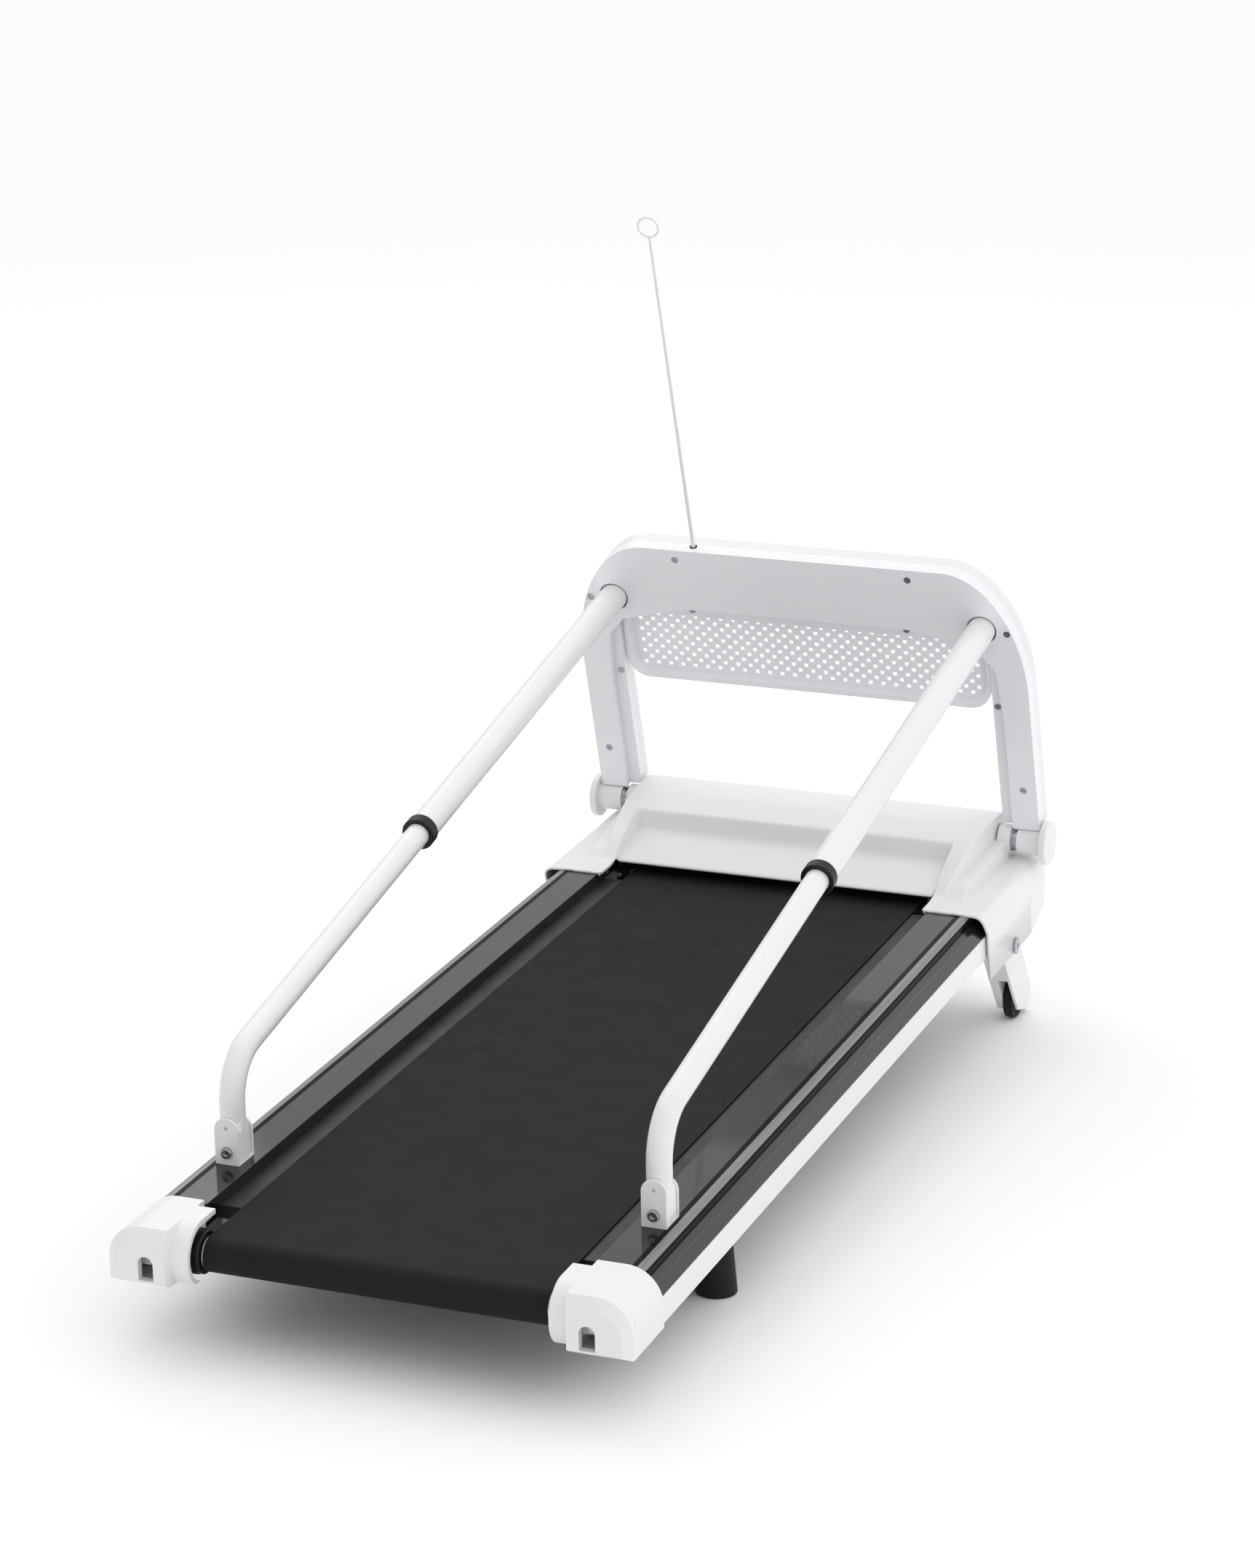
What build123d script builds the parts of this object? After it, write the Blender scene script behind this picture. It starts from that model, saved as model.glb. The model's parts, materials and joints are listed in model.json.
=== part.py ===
"""Belt treadmill with a folding hoop, telescoping side tubes, a perforated tray and a lure rod.

Every piece is drawn in the deck frame: X to the right, Y forward along the deck, Z square to the
deck, with the origin midway between the rails on their top faces, where they meet the rear caps.
At the end the finished pieces are tilted and lifted together, so that they stand on the floor.
All sizes are in millimetres and all angles in degrees.
"""
import os
from math import cos, radians, sin, tan

from build123d import *

# ---- stance -------------------------------------------------------------------------------
deck_incline = 2.8
deck_height = 121.0

# ---- clearances ---------------------------------------------------------------------------
body_gap = 0.3
running_fit = 0.1
screw_fit = 0.2
seat_fit = 0.02

# ---- rails, beams and deck ----------------------------------------------------------------
rail_gap = 400.0
rail_top_width = 44.0
rail_width = 64.0
rail_length = 1052.0
rail_wall = 2.6
rail_bead = 7.0
beam_width = 50.0
beam_height = 27.5
beam_length = 1212.0
beam_wall = 1.6
beam_top = -27.0
belt_surface = -11.0
belt_width = 352.0
belt_thickness = 1.6
roller_radius = 16.5
rear_roller_y = -42.0
front_roller_y = 1068.0
deck_thickness = 14.0
deck_start = 28.0
deck_end = 1008.0
cushion_height = 3.0
cushion_radius = 14.0
member_height = 13.0
member_depth = 34.0
member_wall = 1.5
member_stations = (150.0, 430.0, 710.0, 960.0)

# ---- rollers, flywheel and drive ----------------------------------------------------------
axle_radius = 6.0
bearing_radius = 13.0
bearing_width = 10.0
roller_end_wall = 4.0
roller_overhang = 2.0
roller_tube_wall = 2.0
pulley_radius = 15.0
pulley_width = 12.0
pulley_gap = 8.0
drive_belt_thickness = 2.2
flywheel_y = 1132.0
flywheel_radius = 38.0
flywheel_width = 22.0
flywheel_web = 8.0
flywheel_rim = 11.0
flywheel_hub = 9.5
flywheel_pulley_radius = 10.0
flywheel_gap = 7.0
bracket_plate = 4.0
brake_arm = 4.0
brake_gap = 0.8

# ---- rear caps ----------------------------------------------------------------------------
cap_length = 83.0
cap_bevel_length = 8.0
cap_bevel_top = 11.0
cap_bevel_side = 8.0
cap_bevel_inner = 1.5
cap_bevel_bottom = 5.0
cap_wall = 2.5
cap_top = 3.5
cap_corner_radius = 36.0
shroud_width = 19.0
shroud_wall = 5.0
shroud_reach = 28.0
slot_width = 16.0
slot_height = 25.0
slot_top = -23.5

# ---- hood ---------------------------------------------------------------------------------
hood_wall = 2.8
hood_side = 269.5
hood_rear = 985.0
hood_lip = 1031.0
hood_front = 1246.0
hood_bottom = -81.0
hood_core_half = 222.0
hood_recess_half = 195.0
hood_terrace_half = 233.0
hood_shoulder_radius = 25.0
hood_crown = 52.0
pan_thickness = 2.5
pan_rear = 1010.0
pan_front = 1152.0
pan_half = 235.5

# ---- hinge and hoop -----------------------------------------------------------------------
hinge_y = 1192.0
hinge_z = 23.5
hoop_lean = 15.7
hoop_wall = 2.5
hoop_half = 273.0
hoop_top = 356.0
hoop_foot = 17.6
hoop_rear_offset = 3.3
hoop_split_offset = -14.0
hoop_front_offset = -30.7
hoop_corner_across = 93.0
hoop_corner_up = 156.0
flange_step = 10.0
window_half = 226.0
window_top = 262.0
window_corner = 22.0
barrel_radius = 16.5
barrel_start = 247.0
barrel_end = 276.0
pin_radius = 6.0
boss_radius = 17.0
boss_start = 224.0
boss_end = 239.0
cap_disc_radius = 26.0
cap_disc_width = 8.0
spring_radius = 14.0
frame_tube_radius = 8.0
frame_tube_wall = 1.5
frame_tube_x = 257.0
frame_tube_up = 318.0
frame_tube_offset = -11.0
frame_tube_bend = 78.0

# ---- side tubes ---------------------------------------------------------------------------
tube_x = 223.5
tube_slope = 11.05
joint_y = 556.9
joint_z = 189.6
upper_tube_radius = 16.0
upper_tube_wall = 2.7
lower_tube_radius = 12.7
lower_tube_wall = 1.6
tube_overlap = 150.0
tube_insert = 1.0
tube_hole_gap = 1.6
tube_bend = 52.0
bush_length = 22.0
collar_radius = 18.0
collar_length = 13.0
collar_lip = 5.0
foot_y = 105.2
foot_width = 25.0
foot_depth = 27.0
foot_top = 34.0
ear_width = 25.8
ear_thickness = 2.5
rear_ear_height = 49.0
front_ear_height = 41.0
bracket_screw_z = 13.1
bracket_hole_z = 38.0

# ---- tray ---------------------------------------------------------------------------------
tray_half = 223.0
tray_bottom = 170.0
tray_top = 272.0
tray_rear_offset = -11.0
tray_front_offset = -25.5
tray_wall = 2.0
tray_rim = 7.0
tray_corner = 26.0
strip_half = 200.0
strip_top = 277.0
strip_bottom = 258.0
strip_thickness = 2.5
hole_size = 5.0
hole_pitch = 15.5
hole_columns = 27
hole_rows = 10
hole_row_pitch = 7.5
hole_row_start = 183.0
tray_slot_gap = 1.0

# ---- lure rod -----------------------------------------------------------------------------
rod_x = -120.0
rod_y = 1103.7
rod_z = 368.9
rod_lean = 17.3
rod_length = 400.5
rod_foot_radius = 2.4
rod_tip_radius = 1.5
eye_radius = 11.8
eye_wire = 1.25
socket_radius = 4.5
socket_flange = 8.0
socket_depth = 27.0
rod_insert = 23.0

# ---- feet, legs and wheels ----------------------------------------------------------------
rear_foot_y = 243.0
rear_foot_x = 226.0
foot_pad_radius = 21.0
foot_neck_radius = 16.0
leg_inner = 239.0
leg_outer = 265.0
leg_pivot_y = 1102.0
leg_pivot_z = -73.0
leg_lean = 33.0
leg_half_depth = 25.5
wheel_y = 1145.0
wheel_radius = 24.5
wheel_width = 11.0
wheel_side_gap = 0.5
wheel_x = 255.0
wheel_axle_radius = 4.0
leg_bolt_radius = 5.0
leg_washer_radius = 9.5

# ---- worked out from the sizes above ------------------------------------------------------
rail_inner = rail_gap / 2
rail_outer = rail_inner + rail_width
beam_inner = rail_outer + 1.0 - beam_width
beam_outer = beam_inner + beam_width
beam_bottom = beam_top - beam_height
belt_half = belt_width / 2
belt_radius = roller_radius + belt_thickness
roller_z = belt_surface - belt_radius
deck_top = belt_surface - belt_thickness - body_gap
deck_bottom = deck_top - deck_thickness
deck_half = beam_inner - 3.0
member_top = deck_bottom - cushion_height
roller_half = belt_half + roller_overhang
shroud_radius = cap_top - roller_z
hinge_line = Vector(0, hinge_y, hinge_z)
tube_direction = Vector(0, cos(radians(tube_slope)), sin(radians(tube_slope)))
tube_joint = Vector(tube_x, joint_y, joint_z)
rod_direction = Vector(0, -sin(radians(rod_lean)), cos(radians(rod_lean)))
rod_base = Vector(rod_x, rod_y, rod_z)


def floor_z(y):
    """Height of the floor under the station y, in the deck frame."""
    return -(deck_height + y * sin(radians(deck_incline))) / cos(radians(deck_incline))


floor_plane = Plane(
    origin=(0, 0, floor_z(0)),
    x_dir=(1, 0, 0),
    z_dir=(0, sin(radians(deck_incline)), cos(radians(deck_incline))),
)
wheel_z = floor_z(wheel_y) + wheel_radius / cos(radians(deck_incline))


# ---- planes -------------------------------------------------------------------------------
def across(y):
    """Plane square to the deck's length; it extrudes towards the rear."""
    return Plane(origin=(0, y, 0), x_dir=(1, 0, 0), z_dir=(0, -1, 0))


def lengthwise(x):
    """Plane in which the sketch axes are Y and Z; it extrudes to the right."""
    return Plane.YZ.offset(x)


def level(z):
    """Plane parallel to the deck; it extrudes upwards."""
    return Plane.XY.offset(z)


def hoop_plane(offset):
    """Plane of the leaning hoop; sketch Y runs up the hoop from the hinge line."""
    normal = Vector(0, -cos(radians(hoop_lean)), -sin(radians(hoop_lean)))
    return Plane(origin=hinge_line + normal * offset, x_dir=(1, 0, 0), z_dir=normal)


def tube_plane(distance):
    """Plane square to the right side tube, measured along it from the telescope joint."""
    return Plane(origin=tube_joint + tube_direction * distance, x_dir=(1, 0, 0), z_dir=tube_direction)


def rod_plane(distance):
    """Plane square to the lure rod, measured along it from the hoop's top."""
    return Plane(origin=rod_base + rod_direction * distance, x_dir=(1, 0, 0), z_dir=rod_direction)


def mirrored(right_piece):
    """The left-hand twin of a right-hand piece."""
    with BuildPart() as left_piece:
        mirror(right_piece.part, about=Plane.YZ)
    return left_piece


def both_sides(right_piece):
    """One node that holds a right-hand piece and its left-hand twin as separate solids."""
    with BuildPart() as pair:
        add(right_piece.part)
        mirror(right_piece.part, about=Plane.YZ)
    return pair


def screw_group(seats, head_radius, head_height, shank_radius, shank_length):
    """Domed screws on their seats: head outwards, shank inwards, hexagon recess in the head."""
    with BuildPart() as screws:
        for seat in seats:
            with BuildSketch(seat):
                Circle(head_radius)
            extrude(amount=head_height, taper=18)
            with BuildSketch(seat):
                Circle(shank_radius)
            extrude(amount=-shank_length)
            with BuildSketch(seat.offset(head_height)):
                RegularPolygon(head_radius * 0.4, 6)
            extrude(amount=-head_height / 2, mode=Mode.SUBTRACT)
    return screws


def spot_plane(base, across_x, up):
    """Plane parallel to a base plane, centred on a point given in the base plane's own axes."""
    return Plane(origin=base.from_local_coords((across_x, up, 0)), x_dir=base.x_dir, z_dir=base.z_dir)


# ---- side rail ----------------------------------------------------------------------------
rail_shoulder_x = rail_inner + rail_top_width
rail_step_x = rail_shoulder_x + rail_bead
rail_band_x = rail_step_x + rail_bead
rail_skin = [
    (rail_inner, deck_top),
    (rail_inner, 0),
    (rail_shoulder_x, 0),
    (rail_step_x, -rail_bead),
    (rail_step_x, -rail_bead - 3.5),
    (rail_band_x, -rail_bead - 7.0),
    (rail_band_x, -rail_bead - 8.5),
    (rail_outer, beam_top),
]
rail_inside = [
    (rail_outer - rail_wall, beam_top),
    (rail_band_x - rail_wall, -rail_bead - 10.0),
    (rail_step_x - rail_wall, -rail_bead - 6.0),
    (rail_shoulder_x - rail_wall, -rail_wall),
    (rail_inner + rail_wall, -rail_wall),
    (rail_inner + rail_wall, deck_top),
]
with BuildPart() as side_rail_right:
    with BuildSketch(across(0)):
        with BuildLine():
            Polyline(*rail_skin[:3])
            TangentArc(rail_skin[2], rail_skin[3], tangent=(1, 0))
            Polyline(*rail_skin[3:], *rail_inside, rail_skin[0])
        make_face()
    extrude(amount=-rail_length)

# ---- frame beam ---------------------------------------------------------------------------
beam_middle_x = (beam_inner + beam_outer) / 2
beam_middle_z = beam_top - beam_height / 2
with BuildPart() as frame_beam_right:
    with BuildSketch(across(0)):
        with Locations((beam_middle_x, beam_middle_z)):
            Rectangle(beam_width, beam_height)
            Rectangle(beam_width - 2 * beam_wall, beam_height - 2 * beam_wall, mode=Mode.SUBTRACT)
    extrude(amount=-beam_length)

# ---- cross members ------------------------------------------------------------------------
with BuildPart() as cross_members:
    for station in member_stations:
        with BuildSketch(lengthwise(-beam_inner)):
            with Locations((station, member_top - member_height / 2)):
                Rectangle(member_depth, member_height)
                Rectangle(
                    member_depth - 2 * member_wall,
                    member_height - 2 * member_wall,
                    mode=Mode.SUBTRACT,
                )
        extrude(amount=2 * beam_inner)

front_member_y = beam_length - member_depth / 2
with BuildPart() as front_cross_member:
    with BuildSketch(lengthwise(-beam_inner)):
        with Locations((front_member_y, beam_middle_z)):
            Rectangle(member_depth, beam_height)
            Rectangle(
                member_depth - 2 * member_wall,
                beam_height - 2 * member_wall,
                mode=Mode.SUBTRACT,
            )
    extrude(amount=2 * beam_inner)

# ---- deck board and cushions --------------------------------------------------------------
with BuildPart() as deck_board:
    with BuildSketch(level(deck_bottom)):
        with Locations((0, (deck_start + deck_end) / 2)):
            Rectangle(2 * deck_half, deck_end - deck_start)
    extrude(amount=deck_thickness)

cushion_spots = [(x, y) for y in member_stations for x in (-deck_half * 0.8, deck_half * 0.8)]
with BuildPart() as deck_cushions:
    with BuildSketch(level(member_top)):
        with Locations(*cushion_spots):
            Circle(cushion_radius)
    extrude(amount=cushion_height)

# ---- running belt -------------------------------------------------------------------------
belt_run = front_roller_y - rear_roller_y
with BuildPart() as running_belt:
    with BuildSketch(lengthwise(-belt_half)):
        with Locations(((rear_roller_y + front_roller_y) / 2, roller_z)):
            SlotCenterToCenter(belt_run, 2 * belt_radius)
            SlotCenterToCenter(belt_run, 2 * (roller_radius + body_gap), mode=Mode.SUBTRACT)
    extrude(amount=2 * belt_half)


# ---- rollers, axles and bearings ----------------------------------------------------------
def roller_drum(y):
    """A hollow roller drum with an end wall and a bearing seat at each end."""
    inner = roller_radius - roller_tube_wall
    bore = axle_radius + 2
    seat = bearing_radius + running_fit
    seat_end = roller_half - bearing_width
    wall_end = seat_end - roller_end_wall
    middle = Plane(origin=(0, y, roller_z), x_dir=(1, 0, 0), z_dir=(0, -1, 0))
    with BuildPart() as drum:
        with BuildSketch(middle):
            with BuildLine():
                Polyline(
                    (-roller_half, seat),
                    (-roller_half, roller_radius),
                    (roller_half, roller_radius),
                    (roller_half, seat),
                    (seat_end, seat),
                    (seat_end, bore),
                    (wall_end, bore),
                    (wall_end, inner),
                    (-wall_end, inner),
                    (-wall_end, bore),
                    (-seat_end, bore),
                    (-seat_end, seat),
                    (-roller_half, seat),
                )
            make_face()
        revolve(axis=Axis((0, y, roller_z), (1, 0, 0)))
    return drum


rear_roller = roller_drum(rear_roller_y)

pulley_start = -roller_half - pulley_gap - pulley_width
front_drum = roller_drum(front_roller_y)
with BuildPart() as front_roller:
    add(front_drum.part)
    with BuildSketch(lengthwise(pulley_start)):
        with Locations((front_roller_y, roller_z)):
            Circle(pulley_radius)
            Circle(axle_radius + 2, mode=Mode.SUBTRACT)
    extrude(amount=pulley_width)
    with BuildSketch(lengthwise(pulley_start + pulley_width)):
        with Locations((front_roller_y, roller_z)):
            Circle(pulley_radius)
            Circle(bearing_radius + running_fit, mode=Mode.SUBTRACT)
    extrude(amount=pulley_gap)


def bearing_pair(y):
    """The two ball bearings of a roller, each a plain ring between the axle and its seat."""
    with BuildPart() as bearings:
        for start in (-roller_half, roller_half - bearing_width):
            with BuildSketch(lengthwise(start)):
                with Locations((y, roller_z)):
                    Circle(bearing_radius)
                    Circle(axle_radius + seat_fit, mode=Mode.SUBTRACT)
            extrude(amount=bearing_width)
    return bearings


rear_roller_bearings = bearing_pair(rear_roller_y)
front_roller_bearings = bearing_pair(front_roller_y)

tension_x = 225.0
tension_bolt_radius = 3.0
rear_axle_half = tension_x + 9.0
with BuildPart() as rear_roller_axle:
    with BuildSketch(lengthwise(-rear_axle_half)):
        with Locations((rear_roller_y, roller_z)):
            Circle(axle_radius)
    extrude(amount=2 * rear_axle_half)
    with BuildSketch(across(rear_roller_y - 2 * axle_radius)):
        with Locations((tension_x, roller_z), (-tension_x, roller_z)):
            Circle(tension_bolt_radius + running_fit)
    extrude(amount=-4 * axle_radius, mode=Mode.SUBTRACT)

with BuildPart() as front_roller_axle:
    with BuildSketch(lengthwise(-beam_inner)):
        with Locations((front_roller_y, roller_z)):
            Circle(axle_radius)
    extrude(amount=2 * beam_inner)

with BuildPart() as roller_bracket_right:
    with BuildSketch(lengthwise(beam_inner - 12)):
        with Locations((front_roller_y, roller_z)):
            RectangleRounded(32, 30, 6)
            Circle(axle_radius, mode=Mode.SUBTRACT)
    extrude(amount=12)
roller_brackets = both_sides(roller_bracket_right)

# ---- rear axle brackets and tension bolts -------------------------------------------------
rear_bracket_x = rail_inner + 6.0
bracket_low = roller_z - 16.0
bracket_rear = rear_roller_y - 20.0
with BuildPart() as rear_axle_bracket_right:
    with BuildSketch(lengthwise(rear_bracket_x)):
        with BuildLine():
            Polyline(
                (bracket_rear, bracket_low),
                (bracket_rear, roller_z + 14),
                (-8, roller_z + 14),
                (-8, deck_bottom - 1),
                (40, deck_bottom - 1),
                (40, bracket_low),
                (bracket_rear, bracket_low),
            )
        make_face()
        with Locations((rear_roller_y, roller_z)):
            SlotOverall(2 * axle_radius + 8, 2 * (axle_radius + running_fit), mode=Mode.SUBTRACT)
    extrude(amount=bracket_plate)
    with BuildSketch(level(bracket_low)):
        with Locations(((rear_bracket_x + beam_inner) / 2, 22.5)):
            Rectangle(beam_inner - rear_bracket_x, 35)
    extrude(amount=3)
rear_axle_brackets = both_sides(rear_axle_bracket_right)

bolt_rib_y = rear_roller_y - 20.0
bolt_rib_thickness = 4.0
bolt_seat_y = bolt_rib_y - bolt_rib_thickness
with BuildPart() as tension_bolt_right:
    with BuildSketch(across(bolt_seat_y)):
        with Locations((tension_x, roller_z)):
            Circle(5.0)
    extrude(amount=5.0)
    with BuildSketch(across(bolt_seat_y)):
        with Locations((tension_x, roller_z)):
            Circle(tension_bolt_radius)
    extrude(amount=-(rear_roller_y + 9 - bolt_seat_y))
    with BuildSketch(across(bolt_seat_y - 2)):
        with Locations((tension_x, roller_z)):
            RegularPolygon(2.6, 6)
    extrude(amount=4, mode=Mode.SUBTRACT)
tension_bolt_left = mirrored(tension_bolt_right)

# ---- rear cap -----------------------------------------------------------------------------
cap_inner = rail_inner + 3.0
cap_outer = beam_outer + 2.5
cap_bottom = beam_bottom - 0.5
cap_body_end = -(cap_length - cap_bevel_length)


def cap_outline(left, right, top, bottom, corner_radius):
    """Cross-section of the rear cap: square inside and below, one large corner outside."""
    with Locations(((left + right) / 2, (top + bottom) / 2)):
        outline = Rectangle(right - left, top - bottom)
    corner = outline.vertices().group_by(Axis.X)[-1].sort_by(Axis.Y)[-1]
    fillet(corner, corner_radius)


shroud_start = cap_inner - shroud_width
with BuildPart() as rear_cap_right:
    with BuildSketch(across(0)):
        cap_outline(cap_inner, cap_outer, cap_top, cap_bottom, cap_corner_radius)
    extrude(amount=-cap_body_end)
    with BuildSketch(across(cap_body_end)):
        cap_outline(cap_inner, cap_outer, cap_top, cap_bottom, cap_corner_radius)
    with BuildSketch(across(-cap_length)):
        cap_outline(
            cap_inner + cap_bevel_inner,
            cap_outer - cap_bevel_side,
            cap_top - cap_bevel_top,
            cap_bottom + cap_bevel_bottom,
            cap_corner_radius - cap_bevel_side,
        )
    loft()
    with BuildSketch(lengthwise(shroud_start)):
        with Locations((rear_roller_y, roller_z)):
            Circle(shroud_radius)
        with Locations((rear_roller_y + shroud_reach / 2, cap_top - shroud_wall / 2)):
            Rectangle(shroud_reach, shroud_wall)
        with Locations((rear_roller_y + 1, cap_bottom - 20)):
            Rectangle(2 * shroud_radius + 10, 40, mode=Mode.SUBTRACT)
        with Locations((rear_roller_y + 22, cap_top - shroud_wall - 40)):
            Rectangle(44, 80, mode=Mode.SUBTRACT)
    extrude(amount=shroud_width)
    with BuildSketch(across(1)):
        cap_outline(
            cap_inner + cap_wall,
            cap_outer - cap_wall,
            cap_top - cap_wall,
            cap_bottom + cap_wall,
            cap_corner_radius - cap_wall,
        )
    extrude(amount=1 - cap_body_end, mode=Mode.SUBTRACT)
    with BuildSketch(lengthwise(shroud_start)):
        with Locations((rear_roller_y, roller_z)):
            Circle(shroud_radius - shroud_wall)
    extrude(amount=shroud_width + cap_wall + 0.5, mode=Mode.SUBTRACT)
    with BuildSketch(across(bolt_rib_y)):
        with Locations(((cap_inner + cap_outer) / 2, roller_z)):
            Rectangle(cap_outer - cap_inner - cap_wall, 20)
        with Locations((tension_x, roller_z)):
            Circle(tension_bolt_radius + screw_fit, mode=Mode.SUBTRACT)
    extrude(amount=bolt_rib_thickness)
    with BuildSketch(across(-cap_length - 1)):
        with Locations((tension_x, slot_top - slot_height / 2)):
            slot_face = Rectangle(slot_width, slot_height)
        fillet(slot_face.vertices().group_by(Axis.Y)[-1], slot_width / 2 - 0.01)
    extrude(amount=-(cap_bevel_length + 2), mode=Mode.SUBTRACT)
rear_cap_left = mirrored(rear_cap_right)

# ---- rear feet ----------------------------------------------------------------------------
with BuildPart() as rear_foot_right:
    with BuildSketch(level(beam_bottom)):
        with Locations((rear_foot_x, rear_foot_y)):
            Circle(foot_neck_radius)
    extrude(amount=-12)
    with BuildSketch(level(beam_bottom - 12)):
        with Locations((rear_foot_x, rear_foot_y)):
            Circle(foot_neck_radius)
    with BuildSketch(floor_plane):
        with Locations((rear_foot_x, rear_foot_y / cos(radians(deck_incline)))):
            Circle(foot_pad_radius)
    loft()
rear_feet = both_sides(rear_foot_right)

# ---- side tubes ---------------------------------------------------------------------------
tube_corner = tube_joint + tube_direction * ((foot_y - joint_y) / tube_direction.Y)
tube_top = tube_joint + tube_direction * tube_overlap
foot_low = ear_thickness + screw_fit
with BuildPart() as lower_tube_right:
    with BuildSketch(level(foot_low)):
        with Locations((tube_x, foot_y)):
            RectangleRounded(foot_width, foot_depth, 6)
    extrude(amount=foot_top - foot_low)
    with BuildSketch(level(foot_top)):
        with Locations((tube_x, foot_y)):
            RectangleRounded(foot_width, foot_depth, 6)
    with BuildSketch(level(foot_top + 9)):
        with Locations((tube_x, foot_y)):
            Circle(lower_tube_radius)
    loft()
    with BuildLine() as tube_path:
        FilletPolyline(
            (tube_x, foot_y, foot_top + 9),
            tube_corner,
            tube_top,
            radius=tube_bend,
        )
    with BuildSketch(level(foot_top + 9)):
        with Locations((tube_x, foot_y)):
            Circle(lower_tube_radius)
            Circle(lower_tube_radius - lower_tube_wall, mode=Mode.SUBTRACT)
    sweep(path=tube_path.line)
    with BuildSketch(across(foot_y - foot_depth)):
        with Locations((tube_x, bracket_screw_z)):
            Circle(4.0 + screw_fit)
    extrude(amount=-2 * foot_depth, mode=Mode.SUBTRACT)
lower_tube_left = mirrored(lower_tube_right)

with BuildPart() as guide_bush_right:
    with BuildSketch(tube_plane(tube_overlap)):
        Circle(lower_tube_radius - lower_tube_wall)
        Circle(lower_tube_radius - lower_tube_wall - 2, mode=Mode.SUBTRACT)
    extrude(amount=-bush_length)
    with BuildSketch(tube_plane(tube_overlap)):
        Circle(upper_tube_radius - upper_tube_wall - body_gap)
        Circle(lower_tube_radius - lower_tube_wall - 2, mode=Mode.SUBTRACT)
    extrude(amount=bush_length / 2)
guide_bushes = both_sides(guide_bush_right)

hoop_hole_distance = (hinge_line - tube_joint).dot(hoop_plane(0).z_dir) + hoop_rear_offset
hoop_hole_distance = hoop_hole_distance / tube_direction.dot(hoop_plane(0).z_dir)
upper_tube_length = hoop_hole_distance + tube_insert
with BuildPart() as upper_tube_right:
    with BuildSketch(tube_plane(0)):
        Circle(upper_tube_radius)
        Circle(upper_tube_radius - upper_tube_wall, mode=Mode.SUBTRACT)
    extrude(amount=upper_tube_length)
upper_tube_left = mirrored(upper_tube_right)

with BuildPart() as tube_collar_right:
    with BuildSketch(tube_plane(-collar_lip)):
        Circle(collar_radius)
        Circle(lower_tube_radius + body_gap, mode=Mode.SUBTRACT)
    extrude(amount=collar_lip)
    with BuildSketch(tube_plane(0)):
        Circle(collar_radius)
        Circle(upper_tube_radius, mode=Mode.SUBTRACT)
    extrude(amount=collar_length - collar_lip)
tube_collar_left = mirrored(tube_collar_right)

# ---- tube brackets ------------------------------------------------------------------------
rear_ear_y = foot_y - foot_depth / 2 - screw_fit - ear_thickness
front_ear_y = foot_y + foot_depth / 2 + screw_fit


def bracket_ear(height, hole_z):
    """Outline of one bracket ear: round top, screw hole, and a small spare hole when given."""
    with Locations((tube_x, (height - ear_width / 2) / 2)):
        Rectangle(ear_width, height - ear_width / 2)
    with Locations((tube_x, height - ear_width / 2)):
        Circle(ear_width / 2)
    with Locations((tube_x, bracket_screw_z)):
        Circle(4.0 + screw_fit, mode=Mode.SUBTRACT)
    if hole_z > 0:
        with Locations((tube_x, hole_z)):
            Circle(2.0, mode=Mode.SUBTRACT)


with BuildPart() as tube_bracket_right:
    with BuildSketch(level(0)):
        with Locations((tube_x, foot_y)):
            Rectangle(ear_width, foot_depth + 2 * screw_fit + 2 * ear_thickness)
    extrude(amount=ear_thickness)
    with BuildSketch(across(rear_ear_y)):
        bracket_ear(rear_ear_height, bracket_hole_z)
    extrude(amount=-ear_thickness)
    with BuildSketch(across(front_ear_y)):
        bracket_ear(front_ear_height, 0)
    extrude(amount=-ear_thickness)
tube_brackets = both_sides(tube_bracket_right)

screw_run = foot_depth + 2 * screw_fit + 2 * ear_thickness
screw_seats = [spot_plane(across(rear_ear_y), side * tube_x, bracket_screw_z) for side in (1, -1)]
bracket_screws = screw_group(screw_seats, 6.5, 4.0, 4.0, screw_run + 6.0)
with BuildPart() as bracket_nuts:
    with BuildSketch(across(rear_ear_y + screw_run)):
        with Locations((tube_x, bracket_screw_z), (-tube_x, bracket_screw_z)):
            RegularPolygon(6.5, 6)
            Circle(4.0, mode=Mode.SUBTRACT)
    extrude(amount=-5.0)

# ---- hinge --------------------------------------------------------------------------------
with BuildPart() as hinge_bracket_right:
    with BuildSketch(lengthwise(boss_start)):
        with Locations((hinge_y, hinge_z)):
            Circle(boss_radius)
            Circle(pin_radius, mode=Mode.SUBTRACT)
    extrude(amount=boss_end - boss_start)
    with BuildSketch(lengthwise(boss_start + 3)):
        with Locations((hinge_y, (hinge_z - pin_radius - 4 + beam_top) / 2)):
            Rectangle(28, hinge_z - pin_radius - 4 - beam_top)
    extrude(amount=boss_end - boss_start - 5)
hinge_brackets = both_sides(hinge_bracket_right)

with BuildPart() as hinge_pin_right:
    with BuildSketch(lengthwise(boss_start)):
        with Locations((hinge_y, hinge_z)):
            Circle(pin_radius)
    extrude(amount=barrel_end + 2 - boss_start)
hinge_pins = both_sides(hinge_pin_right)

with BuildPart() as hinge_spring_right:
    for coil in range(3):
        coil_width = (barrel_start - body_gap - boss_end) / 3
        with BuildSketch(lengthwise(boss_end + coil * coil_width)):
            with Locations((hinge_y, hinge_z)):
                Circle(spring_radius - coil % 2 * 1.5)
                Circle(pin_radius + running_fit, mode=Mode.SUBTRACT)
        extrude(amount=coil_width)
hinge_springs = both_sides(hinge_spring_right)

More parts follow.
